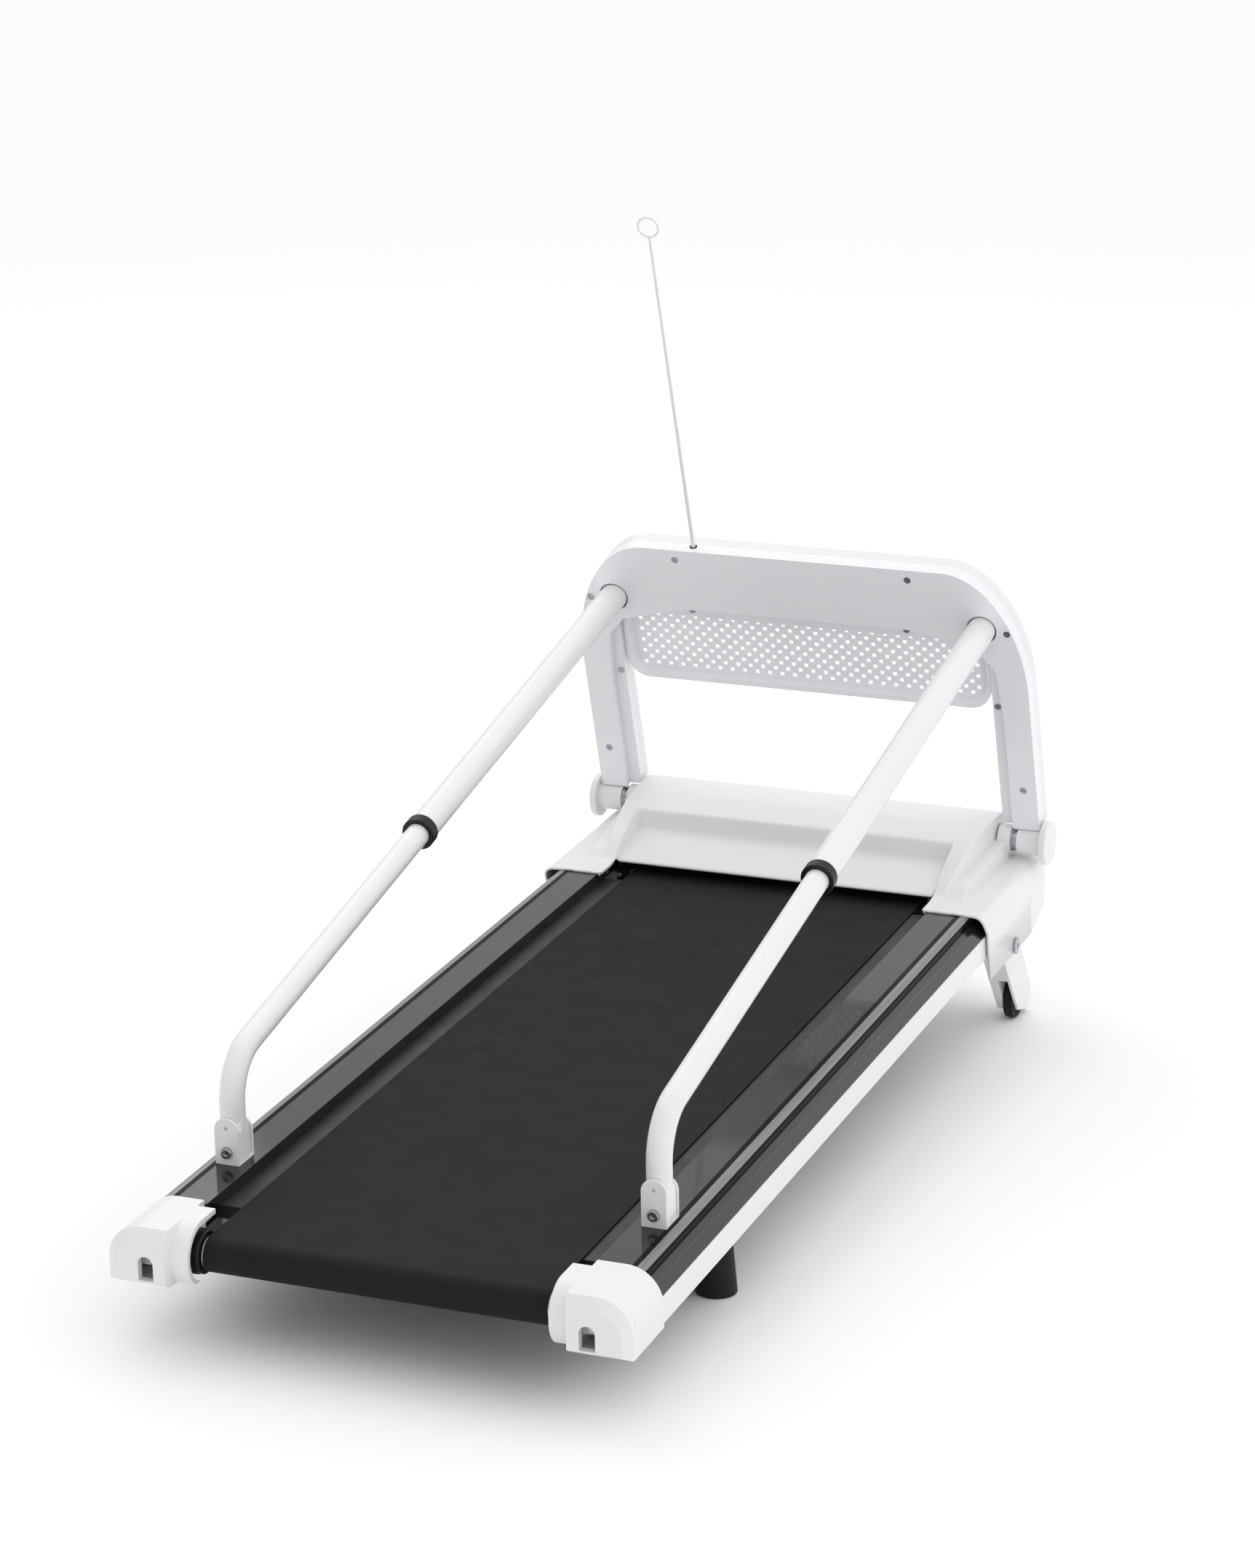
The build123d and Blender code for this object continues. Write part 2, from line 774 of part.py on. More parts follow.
# ---- hoop frame ---------------------------------------------------------------------------
tube_screws = [(257.0, 72.0), (252.9, 282.8)]
post_screws = [(140.5, 343.0)]
flange_screws = [(130.4, 270.9), (231.9, 178.2)]
screw_head = 4.0
screw_sink = 1.6
post_radius = 5.5
shank = 2.0
frame_base = hoop_plane(frame_tube_offset)
leg_start = 6.0
with BuildPart() as hoop_frame:
    with BuildLine(frame_base) as frame_path:
        FilletPolyline(
            (frame_tube_x, leg_start),
            (frame_tube_x, frame_tube_up),
            (-frame_tube_x, frame_tube_up),
            (-frame_tube_x, leg_start),
            radius=frame_tube_bend,
        )
    tube_start = frame_base.from_local_coords((frame_tube_x, leg_start, 0))
    with BuildSketch(Plane(origin=tube_start, x_dir=(1, 0, 0), z_dir=frame_base.y_dir)):
        Circle(frame_tube_radius)
        Circle(frame_tube_radius - frame_tube_wall, mode=Mode.SUBTRACT)
    sweep(path=frame_path.line)
    for barrel_low in (barrel_start, -barrel_end):
        with BuildSketch(lengthwise(barrel_low)):
            with Locations((hinge_y, hinge_z)):
                Circle(barrel_radius)
        extrude(amount=barrel_end - barrel_start)
    with BuildSketch(lengthwise(-barrel_end - 1)):
        with Locations((hinge_y, hinge_z)):
            Circle(pin_radius + running_fit)
    extrude(amount=2 * barrel_end + 2, mode=Mode.SUBTRACT)
    for side in (1, -1):
        for across_x, up in tube_screws:
            with BuildSketch(spot_plane(hoop_plane(0), side * across_x, up)):
                Circle(shank + screw_fit)
            extrude(amount=frame_tube_offset, mode=Mode.SUBTRACT)

with BuildPart() as hinge_cap_right:
    with BuildSketch(lengthwise(barrel_end)):
        with Locations((hinge_y, hinge_z)):
            Circle(cap_disc_radius)
    extrude(amount=cap_disc_width)
    with BuildSketch(lengthwise(barrel_end)):
        with Locations((hinge_y, hinge_z)):
            Circle(pin_radius + body_gap)
    extrude(amount=2 + body_gap, mode=Mode.SUBTRACT)
    fillet(hinge_cap_right.faces().sort_by(Axis.X)[-1].edges(), 2.5)
hinge_caps = both_sides(hinge_cap_right)


# ---- hoop covers --------------------------------------------------------------------------
def hoop_outline(inset):
    """Outer outline of the hoop: straight legs, elliptical corners and a flat top."""
    side = hoop_half - inset
    top = hoop_top - inset
    corner_x = hoop_half - hoop_corner_across
    corner_up = hoop_top - hoop_corner_up
    across_radius = side - corner_x
    up_radius = top - corner_up
    with BuildLine() as outline:
        Line((side, hoop_foot), (side, corner_up))
        EllipticalCenterArc((corner_x, corner_up), across_radius, up_radius, 0, arc_size=90)
        Line((corner_x, top), (-corner_x, top))
        EllipticalCenterArc((-corner_x, corner_up), across_radius, up_radius, 90, arc_size=90)
        Line((-side, corner_up), (-side, hoop_foot))
        Line((-side, hoop_foot), (side, hoop_foot))
    make_face(outline.edges())


def hoop_window(margin, mode):
    """Opening of the hoop, widened by the margin all round."""
    half = window_half + margin
    top = window_top + margin
    low = hoop_foot - 10
    with BuildLine() as outline:
        Line((-half, low), (half, low))
        Line((half, low), (half, top - window_corner))
        JernArc((half, top - window_corner), (0, 1), window_corner, 90)
        Line((half - window_corner, top), (-half + window_corner, top))
        JernArc((-half + window_corner, top), (-1, 0), window_corner, 90)
        Line((-half, top - window_corner), (-half, low))
    make_face(outline.edges(), mode=mode)


def plate_edge(margin, mode):
    """Inner edge of the hoop's rear plate, widened by the margin all round."""
    low = hoop_foot - 10
    points = [
        (241 + margin, low),
        (241 + margin, 165),
        (236 + margin, 232),
        (215 + margin / 2, 257 + margin),
        (182, 265 + margin),
        (135, flange_top + margin),
    ]
    twins = [(-x, y) for x, y in reversed(points)]
    with BuildLine() as outline:
        Polyline(*points, *twins, close=True)
    make_face(outline.edges(), mode=mode)


flange_top = window_top + 15
flange_offset = hoop_rear_offset - flange_step
tube_spot_up = (tube_joint + tube_direction * hoop_hole_distance - hinge_line).dot(hoop_plane(0).y_dir)
plate_screws = post_screws + tube_screws

with BuildPart() as hoop_rear_cover:
    with BuildSketch(hoop_plane(hoop_split_offset)):
        hoop_outline(0)
        hoop_window(0, Mode.SUBTRACT)
    extrude(amount=flange_offset - hoop_split_offset)
    with BuildSketch(hoop_plane(flange_offset)):
        hoop_outline(0)
        plate_edge(0, Mode.SUBTRACT)
    extrude(amount=flange_step)
    with BuildSketch(hoop_plane(hoop_split_offset)):
        hoop_outline(hoop_wall)
        hoop_window(hoop_wall, Mode.SUBTRACT)
        with Locations((0, hoop_foot)):
            Rectangle(2 * hoop_half, 2 * hoop_wall, mode=Mode.SUBTRACT)
    extrude(amount=flange_offset - hoop_wall - hoop_split_offset, mode=Mode.SUBTRACT)
    with BuildSketch(hoop_plane(hoop_split_offset)):
        hoop_outline(hoop_wall)
        plate_edge(hoop_wall, Mode.SUBTRACT)
    extrude(amount=hoop_rear_offset - hoop_wall - hoop_split_offset, mode=Mode.SUBTRACT)
    for side in (1, -1):
        for across_x, up in plate_screws:
            post_end = hoop_split_offset
            if (across_x, up) in tube_screws:
                post_end = frame_tube_offset + frame_tube_radius
            with BuildSketch(spot_plane(hoop_plane(post_end), side * across_x, up)):
                Circle(post_radius)
            extrude(amount=hoop_rear_offset - hoop_wall - post_end)
            with BuildSketch(spot_plane(hoop_plane(hoop_rear_offset), side * across_x, up)):
                Circle(screw_head + screw_fit)
            extrude(amount=-screw_sink, mode=Mode.SUBTRACT)
            with BuildSketch(spot_plane(hoop_plane(hoop_rear_offset), side * across_x, up)):
                Circle(shank + screw_fit)
            extrude(amount=hoop_split_offset - hoop_rear_offset, mode=Mode.SUBTRACT)
        for across_x, up in flange_screws:
            with BuildSketch(spot_plane(hoop_plane(flange_offset), side * across_x, up)):
                Circle(shank + screw_fit)
            extrude(amount=-flange_step, mode=Mode.SUBTRACT)
        with BuildSketch(spot_plane(hoop_plane(hoop_rear_offset), side * tube_x, tube_spot_up)):
            Circle(upper_tube_radius + tube_hole_gap)
        extrude(amount=-2 * hoop_wall, mode=Mode.SUBTRACT)
    with BuildSketch(hoop_plane(flange_offset - hoop_wall)):
        with Locations((0, (tray_bottom + strip_top) / 2 + tray_slot_gap)):
            Rectangle(2 * tray_half + 2 * tray_slot_gap, strip_top - tray_bottom)
    extrude(amount=hoop_split_offset - flange_offset + hoop_wall, mode=Mode.SUBTRACT)
    with BuildSketch(rod_plane(0)):
        Circle(socket_radius + running_fit / 2)
    extrude(amount=3 * hoop_wall, both=True, mode=Mode.SUBTRACT)

with BuildPart() as hoop_front_cover:
    with BuildSketch(hoop_plane(hoop_split_offset)):
        hoop_outline(0)
        hoop_window(0, Mode.SUBTRACT)
    extrude(amount=hoop_front_offset - hoop_split_offset)
    with BuildSketch(hoop_plane(hoop_split_offset)):
        hoop_outline(hoop_wall)
        hoop_window(hoop_wall, Mode.SUBTRACT)
    extrude(amount=hoop_front_offset + hoop_wall - hoop_split_offset, mode=Mode.SUBTRACT)
    with BuildSketch(hoop_plane(hoop_split_offset)):
        with Locations((0, (tray_bottom + strip_top) / 2 + tray_slot_gap)):
            Rectangle(2 * tray_half + 2 * tray_slot_gap, strip_top - tray_bottom)
    extrude(amount=tray_front_offset - tray_slot_gap - hoop_split_offset, mode=Mode.SUBTRACT)
    for side in (1, -1):
        for across_x, up in post_screws:
            with BuildSketch(spot_plane(hoop_plane(hoop_split_offset), side * across_x, up)):
                Circle(post_radius)
                Circle(shank, mode=Mode.SUBTRACT)
            extrude(amount=hoop_front_offset + hoop_wall - hoop_split_offset)

screw_spots = []
for side in (1, -1):
    for across_x, up in plate_screws:
        screw_spots.append(spot_plane(hoop_plane(hoop_rear_offset - screw_sink), side * across_x, up))
    for across_x, up in flange_screws:
        screw_spots.append(spot_plane(hoop_plane(flange_offset), side * across_x, up))
hoop_screws = screw_group(screw_spots, screw_head, 1.5, shank, 6.5)

# ---- tray ---------------------------------------------------------------------------------
tray_centre = (0, (tray_bottom + tray_top) / 2)
tray_height = tray_top - tray_bottom
hole_spots = []
for row in range(hole_rows):
    row_shift = (row % 2) * hole_pitch / 2
    row_up = hole_row_start + row * hole_row_pitch
    for column in range(hole_columns):
        hole_across = (column - hole_columns / 2 + 0.25) * hole_pitch + row_shift
        hole_spots.append((hole_across, row_up))
with BuildPart() as tray:
    with BuildSketch(hoop_plane(tray_front_offset)):
        with Locations(tray_centre):
            RectangleRounded(2 * tray_half, tray_height, tray_corner)
    extrude(amount=tray_rear_offset - tray_front_offset)
    with BuildSketch(hoop_plane(tray_front_offset + tray_wall)):
        with Locations(tray_centre):
            RectangleRounded(2 * tray_half - 2 * tray_rim, tray_height - 2 * tray_rim, tray_corner - tray_rim)
    extrude(amount=tray_rear_offset - tray_front_offset, mode=Mode.SUBTRACT)
    with BuildSketch(hoop_plane(flange_offset - hoop_wall)):
        with Locations((0, (strip_top + tray_top - tray_rim) / 2)):
            Rectangle(2 * strip_half, strip_top - tray_top + tray_rim)
        with Locations((130.4, 270.9), (-130.4, 270.9)):
            Circle(shank + screw_fit, mode=Mode.SUBTRACT)
    extrude(amount=-strip_thickness)
    for side in (1, -1):
        with BuildSketch(spot_plane(hoop_plane(tray_rear_offset), side * 130.4, 270.9)):
            Circle(shank + screw_fit)
        extrude(amount=-6, mode=Mode.SUBTRACT)
    with BuildSketch(hoop_plane(tray_front_offset)):
        with Locations(*hole_spots):
            Rectangle(hole_size, hole_size)
    extrude(amount=tray_wall, mode=Mode.SUBTRACT)

# ---- lure rod and its socket --------------------------------------------------------------
with BuildPart() as rod_socket:
    with BuildSketch(rod_plane(-hoop_wall - 0.7)):
        Circle(socket_flange)
    extrude(amount=-8)
    with BuildSketch(rod_plane(-socket_depth)):
        Circle(socket_radius)
    extrude(amount=socket_depth)
    with BuildSketch(rod_plane(1)):
        Circle(rod_foot_radius + running_fit)
    extrude(amount=-rod_insert - 1 - screw_fit, mode=Mode.SUBTRACT)

eye_centre = rod_base + rod_direction * (rod_length + eye_radius)
eye_plane = Plane(origin=eye_centre, x_dir=(1, 0, 0), z_dir=rod_direction.cross(Vector(1, 0, 0)))
with BuildPart() as lure_rod:
    with BuildSketch(rod_plane(-rod_insert)):
        Circle(rod_foot_radius)
    extrude(amount=rod_insert)
    with BuildSketch(rod_plane(0)):
        Circle(rod_foot_radius)
    with BuildSketch(rod_plane(rod_length)):
        Circle(rod_tip_radius)
    loft()
    with Locations(eye_plane):
        Torus(eye_radius, eye_wire)

# ---- hood ---------------------------------------------------------------------------------
def hood_solid(inset, overrun):
    """The hood's outer shape; the inset and overrun turn it into the space inside its skin."""
    rear = hood_rear - overrun
    front = hood_front - inset
    low = hood_bottom - overrun
    top = hood_wall - inset
    side = hood_side - inset
    recess = hood_recess_half + inset
    core = hood_core_half - inset
    terrace = hood_terrace_half - inset
    shoulder = hood_shoulder_radius - inset
    with BuildPart() as solid:
        with BuildSketch(across(rear)):
            with BuildLine():
                Line((side, low), (side, top - shoulder))
                JernArc((side, top - shoulder), (0, 1), shoulder, 90)
                Line((side - shoulder, top), (-side + shoulder, top))
                JernArc((-side + shoulder, top), (-1, 0), shoulder, 90)
                Polyline((-side, top - shoulder), (-side, low), (side, low))
            make_face()
        extrude(amount=-(front - rear))
        with BuildSketch(lengthwise(-core)):
            with BuildLine():
                Polyline((rear, low), (rear, top), (1000 + inset, top))
                Spline(
                    (1000 + inset, top),
                    (1058 + inset, 26 - inset),
                    (1104 + inset, 45 - inset),
                    (1190, hood_crown - inset),
                    tangents=((1, 0), (1, 0)),
                )
                Spline(
                    (1190, hood_crown - inset),
                    (1232 - inset * 0.7, 34 - inset * 0.7),
                    (front, -6),
                    tangents=((1, 0), (0, -1)),
                )
                Polyline((front, -6), (front, low), (rear, low))
            make_face()
        extrude(amount=2 * core)
        with BuildSketch(lengthwise(-terrace)):
            with BuildLine():
                Polyline((1030, low), (1030, top), (1042 + inset, top), (1048 + inset, 13 - inset))
                Spline(
                    (1048 + inset, 13 - inset),
                    (1110, 20 - inset),
                    (1180, 25 - inset),
                    (1222 - inset, 16 - inset),
                    (front, -12),
                )
                Polyline((front, -12), (front, low), (1030, low))
            make_face()
        extrude(amount=2 * terrace)
        with BuildSketch(lengthwise(-hood_recess_half - inset)):
            with BuildLine():
                Polyline(
                    (rear - 5, 90),
                    (rear - 5, low - 10),
                    (hood_lip, low - 10),
                    (hood_lip, top),
                    (1092 + inset, 23 - inset),
                    (1104 + inset, 42 - inset),
                    (1104 + inset, 90),
                    (rear - 5, 90),
                )
            make_face()
        extrude(amount=2 * recess, mode=Mode.SUBTRACT)
        with BuildSketch(lengthwise(-hood_side - 10)):
            with BuildLine():
                Polyline(
                    (rear, 90),
                    (rear, -8),
                    (rear + 20, -32),
                    (rear + 18, -63),
                    (rear + 24, low),
                    (1152, low),
                    (1159, hood_bottom + inset),
                    (1188, -73 + inset),
                    (1223 - inset / 2, -58 + inset / 2),
                    (1238 - inset, -36),
                    (front, -6),
                    (front, 90),
                    (rear, 90),
                )
            make_face()
        extrude(amount=2 * hood_side + 20, mode=Mode.INTERSECT)
    return solid


hood_skin = hood_solid(0, 0)
hood_space = hood_solid(hood_wall, 12)
leg_bolt_fit = leg_bolt_radius + screw_fit
with BuildPart() as hood:
    add(hood_skin.part)
    add(hood_space.part, mode=Mode.SUBTRACT)
    with BuildSketch(level(hood_bottom - 10)):
        with Locations((0, (hood_rear + hood_lip) / 2)):
            Rectangle(2 * rail_inner - 2, hood_lip - hood_rear + 20)
    extrude(amount=-8 - hood_bottom + 10, mode=Mode.SUBTRACT)
    for low_x in (boss_start - 0.6, -boss_end - 0.6):
        with BuildSketch(lengthwise(low_x)):
            with Locations((hinge_y, hinge_z)):
                Circle(boss_radius + 1.0)
            with Locations((hinge_y, hinge_z - 15)):
                Rectangle(30, 30)
        extrude(amount=boss_end - boss_start + 1.2, mode=Mode.SUBTRACT)
    for low_x in (hood_side - 2 * hood_wall, -hood_side - hood_wall):
        with BuildSketch(lengthwise(low_x)):
            with Locations((leg_pivot_y, leg_pivot_z)):
                Circle(leg_bolt_fit)
            with Locations(((leg_pivot_y + 2.5, leg_pivot_z + 7))):
                Rectangle(11, 14)
        extrude(amount=3 * hood_wall, mode=Mode.SUBTRACT)

with BuildPart() as base_pan:
    pan_low = hood_bottom + 1.5
    with BuildSketch(level(pan_low)):
        with Locations((0, (pan_rear + pan_front) / 2)):
            Rectangle(2 * pan_half, pan_front - pan_rear)
    extrude(amount=beam_bottom - pan_low)
    with BuildSketch(level(pan_low + pan_thickness)):
        with Locations((0, (pan_rear + pan_front) / 2 + pan_thickness)):
            Rectangle(2 * pan_half - 2 * pan_thickness, pan_front - pan_rear)
    extrude(amount=beam_bottom - pan_low, mode=Mode.SUBTRACT)

# ---- flywheel, drive belt and brake -------------------------------------------------------
flywheel_end = pulley_start + pulley_width + flywheel_gap + flywheel_width
flywheel_spot = (flywheel_y, roller_z)
with BuildPart() as flywheel:
    with BuildSketch(lengthwise(flywheel_end - flywheel_width)):
        with Locations(flywheel_spot):
            Circle(flywheel_radius)
            Circle(flywheel_radius - flywheel_rim, mode=Mode.SUBTRACT)
    extrude(amount=flywheel_width)
    with BuildSketch(lengthwise(flywheel_end - flywheel_width / 2 - flywheel_web / 2)):
        with Locations(flywheel_spot):
            Circle(flywheel_radius - flywheel_rim)
    extrude(amount=flywheel_web)
    with BuildSketch(lengthwise(pulley_start)):
        with Locations(flywheel_spot):
            Circle(flywheel_hub)
    extrude(amount=flywheel_end - pulley_start)
    with BuildSketch(lengthwise(pulley_start)):
        with Locations(flywheel_spot):
            Circle(flywheel_pulley_radius)
    extrude(amount=pulley_width)
    with BuildSketch(lengthwise(pulley_start - 1)):
        with Locations(flywheel_spot):
            Circle(axle_radius + running_fit)
    extrude(amount=flywheel_end - pulley_start + 2, mode=Mode.SUBTRACT)


def drive_loop(margin):
    """Loop round both drive pulleys, standing off them by the margin."""
    with Locations((front_roller_y, roller_z)):
        Circle(pulley_radius + margin)
    with Locations(flywheel_spot):
        Circle(flywheel_pulley_radius + margin)
    make_hull()


with BuildPart() as drive_belt:
    with BuildSketch(lengthwise(pulley_start + 1)):
        drive_loop(body_gap + drive_belt_thickness)
    extrude(amount=pulley_width - 2)
    with BuildSketch(lengthwise(pulley_start + 1)):
        drive_loop(body_gap)
    extrude(amount=pulley_width - 2, mode=Mode.SUBTRACT)

bracket_outer_x = pulley_start - 2 - bracket_plate
bracket_inner_x = flywheel_end + 6
member_rear_y = front_member_y - member_depth / 2
with BuildPart() as flywheel_axle:
    with BuildSketch(lengthwise(bracket_outer_x)):
        with Locations(flywheel_spot):
            Circle(axle_radius)
    extrude(amount=bracket_inner_x + bracket_plate - bracket_outer_x)

with BuildPart() as flywheel_bracket:
    for plate_x in (bracket_outer_x, bracket_inner_x):
        with BuildSketch(lengthwise(plate_x)):
            with Locations(((flywheel_y - 12 + member_rear_y) / 2, roller_z)):
                Rectangle(member_rear_y - flywheel_y + 12, 24)
            with Locations(flywheel_spot):
                Circle(axle_radius, mode=Mode.SUBTRACT)
        extrude(amount=bracket_plate)

brake_start = flywheel_end - flywheel_width - brake_gap
brake_reach = member_rear_y - flywheel_y - flywheel_radius + 12
with BuildPart() as brake_caliper:
    with BuildSketch(lengthwise(brake_start - brake_arm)):
        with Locations((member_rear_y - seat_fit - brake_reach / 2, roller_z)):
            Rectangle(brake_reach, 20)
    extrude(amount=flywheel_width + 2 * brake_gap + 2 * brake_arm)
    with BuildSketch(lengthwise(brake_start)):
        with Locations(flywheel_spot):
            Circle(flywheel_radius + 1.5)
    extrude(amount=flywheel_width + 2 * brake_gap, mode=Mode.SUBTRACT)

# ---- front legs and wheels ----------------------------------------------------------------
notch_half = wheel_width / 2 + wheel_side_gap
with BuildPart() as front_leg_right:
    with BuildSketch(lengthwise(leg_inner)):
        with BuildLine():
            Polyline(
                (1074, -82),
                (1089, -62),
                (1115, -62),
                (1148, -97),
                (1184, -154),
                (1174, -175),
                (1133, -165),
                (1074, -82),
            )
        make_face()
        with Locations((leg_pivot_y, leg_pivot_z)):
            Circle(17.5)
            Circle(leg_bolt_radius + running_fit, mode=Mode.SUBTRACT)
    extrude(amount=leg_outer - leg_inner)
    with BuildSketch(lengthwise(wheel_x - notch_half)):
        with BuildLine():
            Polyline(
                (1080, -118),
                (1142, -118),
                (wheel_y + wheel_radius + 1, wheel_z + 8),
                (wheel_y + wheel_radius + 1, -200),
                (1080, -200),
                (1080, -118),
            )
        make_face()
        with Locations((wheel_y, wheel_z)):
            Circle(wheel_radius + 1)
    extrude(amount=2 * notch_half, mode=Mode.SUBTRACT)
    with BuildSketch(lengthwise(leg_inner + 2)):
        with Locations((wheel_y, wheel_z)):
            Circle(wheel_axle_radius)
    extrude(amount=leg_outer - leg_inner - 4, mode=Mode.SUBTRACT)
front_leg_left = mirrored(front_leg_right)

with BuildPart() as wheel_axle_right:
    with BuildSketch(lengthwise(leg_inner + 2)):
        with Locations((wheel_y, wheel_z)):
            Circle(wheel_axle_radius)
    extrude(amount=leg_outer - leg_inner - 4)
wheel_axle_left = mirrored(wheel_axle_right)

with BuildPart() as front_wheel_right:
    with BuildSketch(lengthwise(wheel_x - wheel_width / 2)):
        with Locations((wheel_y, wheel_z)):
            Circle(wheel_radius)
            Circle(wheel_axle_radius + running_fit, mode=Mode.SUBTRACT)
    extrude(amount=wheel_width)
    with BuildSketch(lengthwise(wheel_x - wheel_width / 2)):
        with Locations((wheel_y, wheel_z)):
            Circle(wheel_radius - 5)
            Circle(wheel_axle_radius + 4, mode=Mode.SUBTRACT)
    extrude(amount=2, mode=Mode.SUBTRACT)
    with BuildSketch(lengthwise(wheel_x + wheel_width / 2)):
        with Locations((wheel_y, wheel_z)):
            Circle(wheel_radius - 5)
            Circle(wheel_axle_radius + 4, mode=Mode.SUBTRACT)
    extrude(amount=-2, mode=Mode.SUBTRACT)
front_wheel_left = mirrored(front_wheel_right)

leg_plate_end = leg_inner - body_gap
leg_plate_start = pan_half + body_gap
with BuildPart() as leg_bracket_right:
    with BuildSketch(lengthwise(leg_plate_start)):
        with Locations((leg_pivot_y, (beam_bottom - 90) / 2)):
            Rectangle(34, 90 + beam_bottom)
        with Locations((leg_pivot_y, leg_pivot_z)):
            Circle(leg_bolt_radius, mode=Mode.SUBTRACT)
    extrude(amount=leg_plate_end - leg_plate_start)
leg_brackets = both_sides(leg_bracket_right)

with BuildPart() as leg_bolt_right:
    with BuildSketch(lengthwise(leg_plate_start)):
        with Locations((leg_pivot_y, leg_pivot_z)):
            Circle(leg_bolt_radius)
    extrude(amount=hood_side - leg_plate_start)
    with BuildSketch(lengthwise(hood_side)):
        with Locations((leg_pivot_y, leg_pivot_z)):
            Circle(leg_washer_radius)
    extrude(amount=3.2)
    with BuildSketch(lengthwise(hood_side + 3.2)):
        with Locations((leg_pivot_y, leg_pivot_z)):
            RegularPolygon(3.4, 6)
    extrude(amount=-2, mode=Mode.SUBTRACT)
leg_bolts = both_sides(leg_bolt_right)

# ---- whole set ----------------------------------------------------------------------------
pieces = {
    "side_rail_right": side_rail_right,
    "side_rail_left": mirrored(side_rail_right),
    "frame_beam_right": frame_beam_right,
    "frame_beam_left": mirrored(frame_beam_right),
    "cross_members": cross_members,
    "front_cross_member": front_cross_member,
    "deck_board": deck_board,
    "deck_cushions": deck_cushions,
    "running_belt": running_belt,
    "rear_roller": rear_roller,
    "front_roller": front_roller,
    "rear_roller_bearings": rear_roller_bearings,
    "front_roller_bearings": front_roller_bearings,
    "rear_roller_axle": rear_roller_axle,
    "front_roller_axle": front_roller_axle,
    "roller_brackets": roller_brackets,
    "rear_axle_brackets": rear_axle_brackets,
    "tension_bolt_right": tension_bolt_right,
    "tension_bolt_left": tension_bolt_left,
    "rear_cap_right": rear_cap_right,
    "rear_cap_left": rear_cap_left,
    "rear_feet": rear_feet,
    "lower_tube_right": lower_tube_right,
    "lower_tube_left": lower_tube_left,
    "guide_bushes": guide_bushes,
    "upper_tube_right": upper_tube_right,
    "upper_tube_left": upper_tube_left,
    "tube_collar_right": tube_collar_right,
    "tube_collar_left": tube_collar_left,
    "tube_brackets": tube_brackets,
    "bracket_screws": bracket_screws,
    "bracket_nuts": bracket_nuts,
    "hinge_brackets": hinge_brackets,
    "hinge_pins": hinge_pins,
    "hinge_springs": hinge_springs,
    "hoop_frame": hoop_frame,
    "hinge_caps": hinge_caps,
    "hoop_rear_cover": hoop_rear_cover,
    "hoop_front_cover": hoop_front_cover,
    "hoop_screws": hoop_screws,
    "tray": tray,
    "rod_socket": rod_socket,
    "lure_rod": lure_rod,
    "hood": hood,
    "base_pan": base_pan,
    "flywheel": flywheel,
    "drive_belt": drive_belt,
    "flywheel_axle": flywheel_axle,
    "flywheel_bracket": flywheel_bracket,
    "brake_caliper": brake_caliper,
    "front_leg_right": front_leg_right,
    "front_leg_left": front_leg_left,
    "wheel_axle_right": wheel_axle_right,
    "wheel_axle_left": wheel_axle_left,
    "front_wheel_right": front_wheel_right,
    "front_wheel_left": front_wheel_left,
    "leg_brackets": leg_brackets,
    "leg_bolts": leg_bolts,
}

tilt = Location((0, 0, deck_height), (deck_incline, 0, 0))
for name, piece in pieces.items():
    piece.part.move(tilt)
rear_end = min(piece.part.bounding_box().min.Y for piece in pieces.values())
front_end = max(piece.part.bounding_box().max.Y for piece in pieces.values())
centring = Location((0, -(rear_end + front_end) / 2, 0))

os.makedirs("parts", exist_ok=True)
for name, piece in pieces.items():
    piece.part.move(centring)
    piece.part.label = name
    export_step(piece.part, f"parts/{name}.step")
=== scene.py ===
"""Looks of the belt treadmill: finishes, rounded skins, floor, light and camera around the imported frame."""
import json
import math

import bmesh
import bpy
import numpy as np
from mathutils import Matrix, Vector

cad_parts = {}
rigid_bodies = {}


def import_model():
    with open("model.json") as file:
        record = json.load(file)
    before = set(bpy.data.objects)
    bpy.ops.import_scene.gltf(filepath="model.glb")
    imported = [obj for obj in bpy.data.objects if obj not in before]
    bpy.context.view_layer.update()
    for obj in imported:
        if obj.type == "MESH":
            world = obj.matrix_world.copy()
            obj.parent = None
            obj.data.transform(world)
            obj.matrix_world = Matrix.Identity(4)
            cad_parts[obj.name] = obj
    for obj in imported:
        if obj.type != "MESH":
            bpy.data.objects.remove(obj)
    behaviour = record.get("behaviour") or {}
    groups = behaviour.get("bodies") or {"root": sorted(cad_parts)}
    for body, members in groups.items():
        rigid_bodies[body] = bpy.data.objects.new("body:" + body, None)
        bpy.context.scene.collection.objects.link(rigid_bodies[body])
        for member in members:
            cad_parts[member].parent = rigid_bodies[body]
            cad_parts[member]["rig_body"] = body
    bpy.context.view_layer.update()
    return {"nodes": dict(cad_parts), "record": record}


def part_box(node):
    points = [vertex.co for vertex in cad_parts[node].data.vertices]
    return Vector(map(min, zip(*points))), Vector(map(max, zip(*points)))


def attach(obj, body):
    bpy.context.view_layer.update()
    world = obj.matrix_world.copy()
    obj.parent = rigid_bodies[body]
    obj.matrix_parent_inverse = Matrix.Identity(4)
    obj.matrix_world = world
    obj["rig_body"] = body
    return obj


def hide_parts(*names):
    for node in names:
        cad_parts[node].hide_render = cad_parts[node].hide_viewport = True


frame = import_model()
NODES = frame["nodes"]

